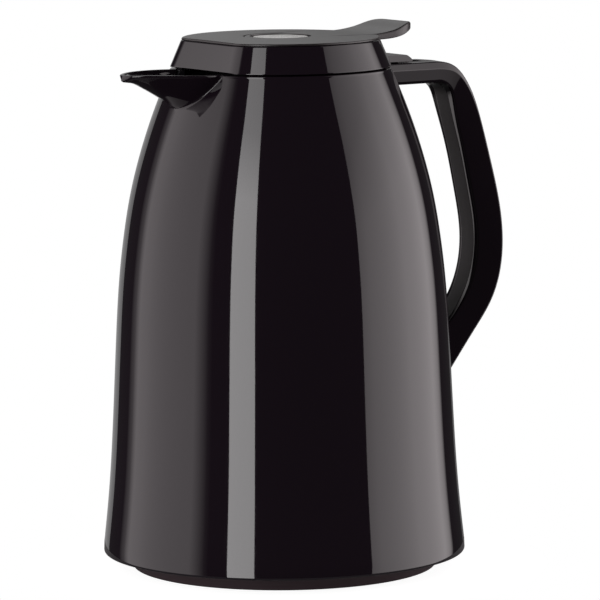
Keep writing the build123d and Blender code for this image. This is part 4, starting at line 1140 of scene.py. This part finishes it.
@dataclass
class Studio:
    """Camera at the photograph's place, a pale floor and soft panels. Sizes in metres, angles in radians."""

    azimuth: float = math.radians(-34.0)
    distance: float = 2.0
    height: float = 0.3650385
    pitch: float = 0.1285534
    pan: float = 0.0034994
    roll: float = -0.0073384
    lens: float = 302.876
    floor_ring: float = 0.06
    floor_radius: float = 0.105
    floor_drop: float = 0.0003
    backdrop_away: float = 1.35
    backdrop_aside: float = 0.175
    backdrop_half: float = 0.665
    backdrop_low: float = -0.6
    backdrop_high: float = 1.5
    room: float = 0.03

    def camera(self) -> None:
        """Put the camera where the photograph was taken from."""
        data = bpy.data.cameras.new("camera")
        data.sensor_width, data.lens = 36.0, self.lens
        data.clip_start, data.clip_end = 0.05, 30.0
        made = put("camera", data)
        place = Vector((math.sin(self.azimuth) * self.distance, -math.cos(self.azimuth) * self.distance,
                        self.height))
        made.matrix_world = (Matrix.Translation(place) @ Matrix.Rotation(self.azimuth - self.pan, 4, "Z")
                             @ Matrix.Rotation(math.pi / 2 - self.pitch, 4, "X")
                             @ Matrix.Rotation(self.roll, 4, "Z"))
        bpy.context.scene.camera = made

    def panel(self, panel: Panel) -> None:
        """Stand a soft panel light round the object.

        Args:
            panel: The panel to stand.
        """
        data = bpy.data.lights.new(panel.name, "AREA")
        data.shape, data.size, data.size_y = "RECTANGLE", panel.width, panel.high - panel.low
        data.energy = panel.radiance * math.pi * data.size * data.size_y
        tree = bare_tree(data)
        place = add(tree, "ShaderNodeNewGeometry").outputs["Parametric"]
        sides = add(tree, "ShaderNodeSeparateXYZ", {"Vector": place}).outputs
        across = self.ramp(tree, sides["X"], panel.across)
        upward = self.ramp(tree, sides["Y"], panel.upward)
        share = add(tree, "ShaderNodeMath", {0: across, 1: upward}, operation="MULTIPLY").outputs[0]
        light = add(tree, "ShaderNodeEmission", {"Strength": share}, {"Color": panel.tint})
        add(tree, "ShaderNodeOutputLight", {"Surface": light.outputs[0]})
        turn = self.azimuth + math.radians(panel.bearing)
        away = Vector((math.sin(turn), -math.cos(turn), 0))
        middle = away * panel.distance + Vector((0, 0, (panel.low + panel.high) / 2))
        facing = away.to_track_quat("Z", "Y").to_matrix().to_4x4()
        put(panel.name, data).matrix_world = Matrix.Translation(middle) @ facing

    def ramp(self, tree: bpy.types.NodeTree, place: bpy.types.NodeSocket,
             stops: Sequence[tuple[float, float]]) -> bpy.types.NodeSocket:
        """Add a brightness that changes along a panel.

        Args:
            tree: Node tree of the light.
            place: Share of the way along the panel.
            stops: (share of the way, brightness) in rising order.

        Returns:
            Socket with the brightness.
        """
        node = add(tree, "ShaderNodeValToRGB", {"Fac": place})
        scale = node.color_ramp
        while len(scale.elements) < len(stops):
            scale.elements.new(0.5)
        for element, (share, level) in zip(scale.elements, stops):
            element.position = share
            element.color = (level, level, level, 1)
        return node.outputs["Color"]

    def floor(self) -> None:
        """Lay the pale floor, a disc a little wider than the foot."""
        outline = np.array([(0, 0.0), (self.floor_ring / MM, 0.0), (self.floor_radius / MM, 0.0)])
        made = put("floor", Skin("floor").grid(turned(outline, 96), closed=False).mesh())
        made.location.z = -self.floor_drop
        made.data.materials.append(Paper("floor_paper", 0.3, 0.93, 0.04, 0.04).material())

    def backdrop(self) -> None:
        """Stand a backdrop behind the object that only reflections see."""
        half, low, high = self.backdrop_half, self.backdrop_low, self.backdrop_high
        mesh = bpy.data.meshes.new("backdrop")
        mesh.from_pydata([(-half, 0, low), (half, 0, low), (half, 0, high), (-half, 0, high)], [],
                         [(0, 1, 2, 3)])
        made = put("backdrop", mesh)
        turn = self.azimuth + math.pi
        made.location = (Vector((math.sin(turn), -math.cos(turn), 0)) * self.backdrop_away
                         + Vector((math.cos(turn), math.sin(turn), 0)) * self.backdrop_aside)
        made.rotation_euler.z = turn
        made.visible_camera = False
        mesh.materials.append(Paper("backdrop_paper", 0.1, 1.0, 0.36, 0.75).material())

    def world(self) -> None:
        """Show the camera a white sky, and gloss the dim room that the photographed body mirrors."""
        world = bpy.data.worlds.new("studio")
        bpy.context.scene.world = world
        tree = bare_tree(world)
        dim, white = (add(tree, "ShaderNodeBackground", values={"Color": (1, 1, 1, 1), "Strength": strength})
                      for strength in (self.room, 1.0))
        path = add(tree, "ShaderNodeLightPath").outputs
        both = add(tree, "ShaderNodeMixShader",
                   {0: path["Is Camera Ray"], 1: dim.outputs[0], 2: white.outputs[0]})
        add(tree, "ShaderNodeOutputWorld", {"Surface": both.outputs[0]})

    def build(self) -> None:
        """Set up the camera, the stage and the light."""
        bpy.context.scene.view_settings.view_transform = "Standard"
        self.camera()
        self.floor()
        self.backdrop()
        self.world()
        for panel in PANELS:
            self.panel(panel)


def dress_nodes() -> None:
    """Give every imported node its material, also those that a finer piece stands for."""
    for part in frame["record"]["subparts"]:
        node = frame["nodes"][part["node"]]
        material = FINISHES[part["material_slot"]].material()
        if not node.material_slots:
            node.data.materials.append(material)
        for slot in node.material_slots:
            slot.material = material
        LOG.info("%s has %s", part["node"], material.name)


def main() -> None:
    """Build the sub-assemblies in order."""
    logging.basicConfig(level=logging.INFO, format="%(name)s: %(message)s")
    Studio().build()
    dress_nodes()
    for assembly in (BodyShell(), BaseCap(), Handle(), Lid(), Lever()):
        assembly.build()


if __name__ == "__main__":
    main()
